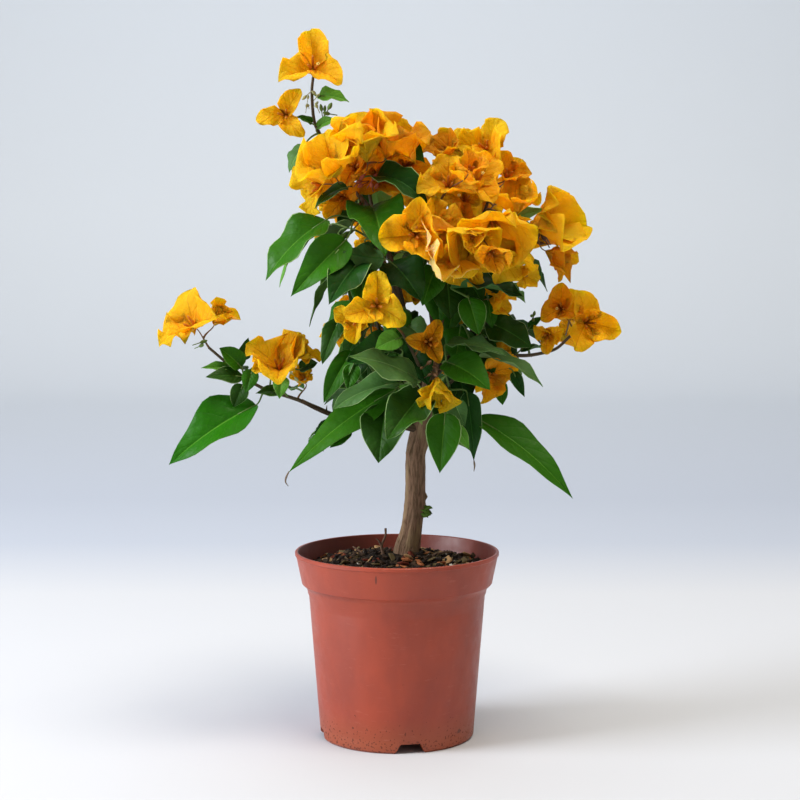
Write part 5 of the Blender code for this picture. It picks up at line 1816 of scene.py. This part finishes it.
@dataclass
class BractBlade:
    """One fine bract: ovate and pointed, folded or cupped towards its bloom's axis, ragged and crinkled."""

    bloom: Bloom
    direction: Vector
    inward: Vector
    wide: float  # of its length
    fold: float
    cup: float
    frill: float
    frills: float
    phase: float
    crumple: float
    recurve: float
    swerve: float
    lean: float  # how much wider one half is
    tail: float
    seed: float

    @classmethod
    def varied(cls, bloom: Bloom, direction: Vector, inward: Vector, rng: random.Random) -> "BractBlade":
        """A bract with its own chance width, fold, frill, crumple and bend of its point."""
        wide = BRACT_WIDTHS.get(seen_at(bloom.at), rng.uniform(0.76, 1.06))
        ranges = ((0.0, 0.58), (0.0, 0.5), (0.1, 0.3), (1.3, 3.0), (0, math.tau), (0.07, 0.15), (-0.3, 0.8),
                  (-0.2, 0.2), (-0.18, 0.18), (0.48, 0.78), (0, 50))
        return cls(bloom, direction, inward, wide, *(rng.uniform(*ends) for ends in ranges))

    def place(self, t: float, s: float) -> Vector:
        """Where a point of the bract lies, from its shares along and across."""
        at, size = Vector(self.bloom.at), self.bloom.length
        looks = Vector(self.bloom.looks).normalized()
        centre, side, up = arched(at, at + self.direction * size, self.inward, self.bloom.bend, t)
        from_axis = (centre - at - looks * (centre - at).dot(looks)).length
        aside = abs(s)
        ragged = noise.noise(Vector((t * 5.5 + self.seed, math.copysign(3.0, s), self.seed)))
        half = size * self.wide / 2 * drawn_outline(t, 0.46, self.tail)
        half = min(half * (1 + self.lean * s + 0.24 * ragged * aside), from_axis * 2.2 + 0.8)
        late = max(0.0, t - 0.55)
        centre = centre - up * (self.recurve * size * late ** 2 * 1.6) + side * (self.swerve * size * t ** 2)
        ripple = math.sin(math.tau * self.frills * t + self.phase + (2.3 if s > 0 else 0.0))
        crease = noise.fractal(Vector((s * half * 0.15 + self.seed, t * size * 0.15, self.seed)), 0.8, 2.1, 3)
        lift = self.fold * half * (aside + 0.35 * aside ** 2 - 0.3) + self.cup * half * aside ** 2
        lift += ripple * self.frill * half * aside ** 3 * 1.9
        lift += crease * self.crumple * size * min(1, t * 3) * 0.65
        lift -= BRACT_RIB * max(0.0, 1 - aside / 0.1)
        return centre + side * (s * half * (1 - 0.22 * self.fold)) + up * lift


@dataclass
class Crown:
    """Every leaf, bract, flower, stalk, bud and thorn of the grown masses, each kind joined apart."""

    growths: list[Growth]
    rng: random.Random = field(default_factory=lambda: random.Random(DETAIL_SEED))
    short_leaf: float = 24.0
    leaf_thick: float = 0.42
    broad_leaf: tuple[float, ...] = (0.03, 0.28, 0.6, 0.965, 1)
    middling_leaf: tuple[float, ...] = (0.035, 0.52, 0.955, 1)
    little_leaf: tuple[float, ...] = (0.045, 0.5, 1)
    leaf_margin: float = 0.95
    margin_chance: float = 0.45
    bract_thick: float = 0.3
    broad_bract: tuple[float, ...] = (0.03, 0.32, 0.6, 0.84, 1)
    little_bract: tuple[float, ...] = (0.04, 0.36, 0.7, 1)
    bract_chances: tuple[float, ...] = (6, 4, 4, 0.15, 0.1, 0.3)
    hidden: tuple[str, ...] = tuple(f"foliage_{name}" for name in MASSES)

    def things(self, kind: type) -> list[Grown]:
        """Every grown leaf or bloom."""
        return [grown for growth in self.growths for grown in growth.grown if isinstance(grown.thing, kind)]

    @staticmethod
    def leaf_finishes() -> list[Material]:
        """A material for each tint's upper side, under side and rib, and the pale edge last."""
        sides = (("upper side", 0.46), ("under side", 0.62), ("midrib", 0.45))
        made = [LeafSkin(f"{tint.name.lower()} leaf, {side}", colour, roughness).make()
                for tint in LeafTint for (side, roughness), colour in zip(sides, tint.value)]
        return made + [LeafSkin("leaf margin", "#8ca96c", 0.5).make()]

    def leaves(self) -> None:
        """Every leaf blade."""
        grown = self.things(Leaf)
        cells = math.ceil(math.sqrt(2 * len(grown)))
        broad = Sheet(18, self.broad_leaf, self.leaf_thick, cells)
        middling = Sheet(12, self.middling_leaf, self.leaf_thick, cells)
        little = Sheet(8, self.little_leaf, self.leaf_thick, cells)
        bundle = Bundle("leaves", self.leaf_finishes())
        margin = len(bundle.finishes) - 1
        for number, one in enumerate(grown):
            leaf = one.thing
            length = (Vector(leaf.tip) - Vector(leaf.base)).length
            short, level = length < self.short_leaf, leaf.face[2] > 0.7
            # a leaf that faces up more often takes the pale painted sheen
            chances = (5, 5, 1 if short else 4, 5 if short else 1.5, 2 if level else 0.5, 0)
            tint = 3 * set_tint(leaf.tip, self.rng.choices(list(LeafTint), chances)[0])
            sheet = little if one.small else broad if length > LONG_LEAF else middling
            blade = LeafBlade.varied(leaf, self.rng)
            pale = self.rng.random() < self.margin_chance and not one.small

            def zone(t: float, s: float, tint: int = tint, pale: bool = pale) -> int:
                """The slot of a place on the leaf."""
                if pale and abs(s) > self.leaf_margin:
                    return margin
                return tint + (2 if abs(s) < 0.03 and t < 0.9 else 0)

            def under(slot: int, tint: int = tint) -> int:
                """The slot of the under side."""
                return tint + (2 if slot % 3 == 2 else 1)

            bundle.add(sheet.grid(number, blade.place, zone, under))
        bundle.show(self.hidden)

    @staticmethod
    def bract_finishes() -> list[Material]:
        """A material for each zone of each tint."""
        zones = ("throat", "inner", "outer", "midrib", "under side")
        return [BractPaper(f"{tint.name.lower()} bract, {zone}", colour, 0.6).make()
                for tint in BractTint for zone, colour in zip(zones, tint.value)]

    def bracts(self) -> None:
        """Every bract, its gold deepening towards its throat, partly its own tone and partly painted shade.
        """
        grown = self.things(Bloom)
        cells = math.ceil(math.sqrt(6 * len(grown)))
        broad = Sheet(14, self.broad_bract, self.bract_thick, cells)
        little = Sheet(9, self.little_bract, self.bract_thick, cells)
        bundle = Bundle("bracts", self.bract_finishes())
        for index, one in enumerate(grown):
            bloom = one.thing
            tint = 5 * set_tint(bloom.at, self.rng.choices(list(BractTint), self.bract_chances)[0])

            def zone(t: float, s: float, tint: int = tint) -> int:
                """The slot of a place on the bract."""
                if abs(s) < 0.025 and t < 0.85:
                    return tint + 3
                # deeper towards the base: partly the bract's own tone, partly painted shade where the bracts
                # meet
                return tint + (0 if t < 0.13 else 1 if t + 0.35 * abs(s) < 0.5 else 2)

            def under(slot: int, tint: int = tint) -> int:
                """The slot of the under side."""
                return tint + (3 if slot % 5 == 3 else 4)

            for number, (direction, inward, _) in enumerate(bracts_of(bloom), 3 * index):
                blade = BractBlade.varied(bloom, direction, inward, self.rng)
                bundle.add((little if one.small else broad).grid(number, blade.place, zone, under))
        bundle.show(self.hidden)

    def flower(self, bloom: Bloom, direction: Vector) -> BMesh:
        """One slender tube that leans along a bract, now and then with a pale star at its open mouth, which
        is capped and painted dark as the shade inside the tube.
        """
        looks = Vector(bloom.looks).normalized()
        length = min(11.0, bloom.length * self.rng.uniform(0.28, 0.42))
        lean = (direction * 0.45 + looks * 0.9).normalized()
        start = Vector(bloom.at) + direction * 1.0
        path = [start + lean * length * t for t in (0, 0.12, 0.35, 0.6, 0.85, 1.0)]
        is_open = self.rng.random() < 0.06
        radii = [0.5, 0.8, 1.0, 0.75, 0.9, 1.4 if is_open else 0.3]
        bm = bmesh.new()
        rings = tube_rings(bm, path, radii, 10 if is_open else 7, looks.orthogonal().normalized())
        skin(bm, rings)
        bmesh.ops.contextual_create(bm, geom=rings[0])
        mouth = bmesh.ops.contextual_create(bm, geom=rings[-1])["faces"][0]
        if is_open:
            for vert in rings[-1][1::2]:
                vert.co = vert.co.lerp(path[-1] * MM, 0.45)
            for face in {face for vert in rings[-1] for face in vert.link_faces}:
                face.material_index = 1
            bmesh.ops.inset_region(bm, faces=[mouth], thickness=0.55 * MM, depth=-0.3 * MM)
            # the sunk cap is painted dark brown as the shade inside the tube
            mouth.material_index = 2
        return bm

    def flowers(self) -> None:
        """Three flower tubes in each bloom, one by each bract."""
        # the throat's dark brown is painted shade
        looks = (("tube", "#b8741a", 0.6), ("mouth", "#efcf68", 0.5), ("throat", "#7c3b12", 0.7))
        bundle = Bundle("flowers", [GreenBark(f"flower {part}", *finish).make() for part, *finish in looks])
        for one in self.things(Bloom):
            for direction, _, _ in bracts_of(one.thing):
                bundle.add(self.flower(one.thing, direction))
        bundle.show(self.hidden)

    def stalks(self) -> None:
        """The stems of the masses, and each leaf's and bloom's stalk on its own curve."""
        looks = (("brown young stem", "#4b3f28", 0.6), ("green leaf stalk", "#5c7a35", 0.5),
                 ("bronze flower stalk", "#75542a", 0.55))
        bundle = Bundle("stalks", [GreenBark(*finish).make() for finish in looks])
        for growth in self.growths:
            path = smooth_path(stem_path(growth.mass), 4)
            bundle.add_tube(path, along((STEM_R, TWIG_R), len(path)), 9)
            for one in growth.grown:
                thing = one.thing
                path = [bezier(one.controls, step / 8) for step in range(9)]
                if isinstance(thing, Leaf):
                    thin, slot = 0.62, 1
                    blade = Vector(thing.base), Vector(thing.tip), Vector(thing.face), thing.bend
                    path += [arched(*blade, t)[0] for t in (0.06, 0.2)]
                else:
                    thin, slot = 0.5, 2
                    path.append(Vector(thing.at))
                radii = along((max(thin, one.thick * 0.8), thin, thin * 0.75), len(path))
                bundle.add_tube(path, radii, 7, slot)
        bundle.show(self.hidden)

    def buds(self) -> None:
        """Unopened buds among the blooms and on the sprigs, and the brown curl at a dead leaf point."""
        bundle = Bundle("buds", [GreenBark(f"{bud.name.lower()} bud", bud.value, 0.55).make() for bud in Bud])
        kinds, chance = list(Bud), self.rng.uniform
        for kind, place, spread, count, size in BUDS:
            for _ in range(count):
                at = Vector(place) + Vector([chance(-side, side) for side in spread])
                out = Vector((chance(-1, 1), chance(-1, 0.2), chance(-0.2, 1.2))).normalized()
                length = size * chance(0.7, 1.2)
                path = [at + out * length * t for t in (-1.2, -0.15, 0, 0.25, 0.6, 0.9, 1.0)]
                radii = [length * share for share in (0.07, 0.07, 0.16, 0.27, 0.25, 0.12, 0.03)]
                bundle.add_tube(path, radii, 7, kinds.index(kind))
        for points in DRY_CURLS:
            path = smooth_path(points, 3)
            bundle.add_tube(path, along((0.4, 0.75, 0.5, 0.2), len(path)), 6, kinds.index(Bud.DEAD))
        bundle.show(self.hidden)

    def shoot(self) -> None:
        """The small leafy shoot that breaks from the trunk above the soil."""
        sheet = Sheet(8, self.little_leaf, 0.5, 4)
        looks = (("shoot leaf, upper side", "#4b6822", 0.5), ("shoot leaf, under side", "#5f7d30", 0.6))
        bundle = Bundle("trunk_shoot", [LeafSkin(*finish).make() for finish in looks])
        for number in range(8):
            turn = number * GOLDEN_ANGLE
            ahead, up = 0.5 * math.sin(turn) - 0.3, 0.1 + 0.6 * math.sin(turn + 1)
            out = Vector((0.9 + 0.5 * math.cos(turn), ahead, up)).normalized()
            base = Vector(BUD_AT) + Vector((-3.0, -1.0, -1.0 + 0.5 * number))
            tip = base + out * (6.5 + number % 3)
            face = (-0.2, -0.6, 1) if number % 2 else (0.4, -1, -0.2)
            blade = LeafBlade.varied(Leaf(tuple(base), tuple(tip), 6.0, face, 80), self.rng)
            bundle.add(sheet.grid(number, blade.place, lambda t, s: 0, lambda slot: 1))
        bundle.show()

    def thorns(self) -> None:
        """Short sharp thorns on the boughs, each above a leaf scar."""
        bundle = Bundle("thorns", [GreenBark("brown thorn", "#4a3a26", 0.5).make()])
        for limb in BOUGHS.values():
            path = smooth_path(limb.points, 6)
            for index in range(4, len(path) - 2, 5):
                onward = (path[index + 1] - path[index]).normalized()
                aside = Matrix.Rotation(index * GOLDEN_ANGLE, 3, onward) @ onward.orthogonal().normalized()
                start = path[index] + aside * limb.radii[-1] * 0.6
                tip = start + (aside + onward * 0.4).normalized() * self.rng.uniform(4.0, 6.5)
                bundle.add_tube([start, start.lerp(tip, 0.5), tip], [0.85, 0.5, 0.12], 6)
        bundle.show()

    def make(self) -> None:
        """Dresses the whole crown, in the order in which its chances are drawn."""
        self.leaves()
        self.bracts()
        self.flowers()
        self.stalks()
        self.buds()
        self.shoot()
        self.thorns()


@dataclass(frozen=True)
class SoftBox:
    """A square soft light: where it stands and what it aims at, its size in metres, power and colour."""

    name: str
    at: Point
    aim: Point
    size: float
    power: float
    colour: str

    def make(self) -> None:
        """Lights it."""
        lamp = bpy.data.lights.new(self.name, "AREA")
        lamp.size = self.size
        lamp.energy = self.power
        lamp.color = linear(self.colour)[:3]
        made = bpy.data.objects.new(self.name, lamp)
        made.location = self.at
        made.rotation_euler = (Vector(self.aim) - Vector(self.at)).to_track_quat("-Z", "Y").to_euler()
        bpy.context.scene.collection.objects.link(made)


@dataclass
class Studio:
    """A pale sweep, soft lights and the camera."""

    camera_at: Point = (0.0, -1.3731, 0.3771)
    lens: float = 85.0
    sensor: float = 36.0
    pitch: float = 0.0935  # radians down
    yaw: float = 0.0016  # radians to the right
    floor_front: float = -3.4
    bend_at: float = 2.6
    bend_r: float = 1.0
    bend_steps: int = 24
    sweep_height: float = 4.5
    sweep_width: float = 9.0
    paint: Finish = StudioPaint("matt studio sweep", "#ccd1d9", 0.9)
    air: str = "#eae6e0"
    air_power: float = 0.26
    boxes: tuple[SoftBox, ...] = (
        SoftBox("key", (-2.05, -0.62, 1.4), (0.0, 0.0, 0.25), 1.1, 56.0, "#f7f9ff"),
        SoftBox("fill", (1.4, -2.2, 0.9), (0.0, 0.0, 0.25), 1.6, 3.0, "#fff2e6"),
        SoftBox("top", (0.42, -0.55, 2.5), (0.0, 0.0, 0.35), 1.2, 47.0, "#fff2de"),
        SoftBox("sheen", (-1.8, -0.75, 0.3), (0.0, 0.0, 0.1), 0.6, 11.0, "#f7f9ff"),
        SoftBox("wall_wash", (-0.2, 1.2, 3.6), (-0.3, 3.6, 0.9), 2.4, 48.0, "#fbfcff"),
    )

    def camera(self) -> None:
        """The camera, level and almost square to the pot's front."""
        lens = bpy.data.cameras.new("camera")
        lens.lens = self.lens
        lens.sensor_width = self.sensor
        made = bpy.data.objects.new("camera", lens)
        made.location = self.camera_at
        turn = Matrix.Rotation(-self.yaw, 3, "Z") @ Matrix.Rotation(math.pi / 2 - self.pitch, 3, "X")
        made.rotation_euler = turn.to_euler()
        bpy.context.scene.collection.objects.link(made)
        bpy.context.scene.camera = made

    def sweep(self) -> None:
        """The floor, which bends up into the wall behind."""
        bm = bmesh.new()
        left = -self.sweep_width / 2
        points = [(left, self.floor_front, 0)]
        for step in range(self.bend_steps + 1):
            turn = math.pi / 2 * step / self.bend_steps
            ahead, up = math.sin(turn) * self.bend_r, (1 - math.cos(turn)) * self.bend_r
            points.append((left, self.bend_at + ahead, up))
        points.append((left, self.bend_at + self.bend_r, self.sweep_height))
        verts = [bm.verts.new(point) for point in points]
        edges = [bm.edges.new(pair) for pair in zip(verts, verts[1:])]
        made = bmesh.ops.extrude_edge_only(bm, edges=edges)["geom"]
        far_side = [part for part in made if isinstance(part, bmesh.types.BMVert)]
        bmesh.ops.translate(bm, verts=far_side, vec=(self.sweep_width, 0, 0))
        bmesh.ops.recalc_face_normals(bm, faces=bm.faces)
        mesh = bpy.data.meshes.new("studio_sweep")
        bm.to_mesh(mesh)
        bm.free()
        mesh.materials.append(self.paint.make())
        mesh.shade_smooth()
        made = bpy.data.objects.new("studio_sweep", mesh)
        bpy.context.scene.collection.objects.link(made)

    def lights(self) -> None:
        """A broad key from the upper left, a weak fill from the right, and pale air all round."""
        for box in self.boxes:
            box.make()
        air = bpy.data.worlds.new("studio air")
        air.use_nodes = True
        back = air.node_tree.nodes["Background"]
        back.inputs["Color"].default_value = linear(self.air)
        back.inputs["Strength"].default_value = self.air_power
        bpy.context.scene.world = air
        bpy.context.scene.view_settings.view_transform = "Standard"  # the pigments' own colours, not a film's

    def make(self) -> None:
        """Builds the studio."""
        self.camera()
        self.sweep()
        self.lights()


def main() -> None:
    """Builds the studio, the pot, the soil, the wood and the crown."""
    Studio().make()
    pot = Pot()
    pot.make()
    soil = Soil(pot)
    soil.mound()
    soil.litter()
    soil.dry_twigs()
    wood = Wood()
    wood.trunk()
    wood.boughs()
    growths = grow_crown()
    log.info("grown: %d leaves and blooms", sum(len(growth.grown) for growth in growths))
    Crown(growths).make()


if __name__ == "__main__":
    main()
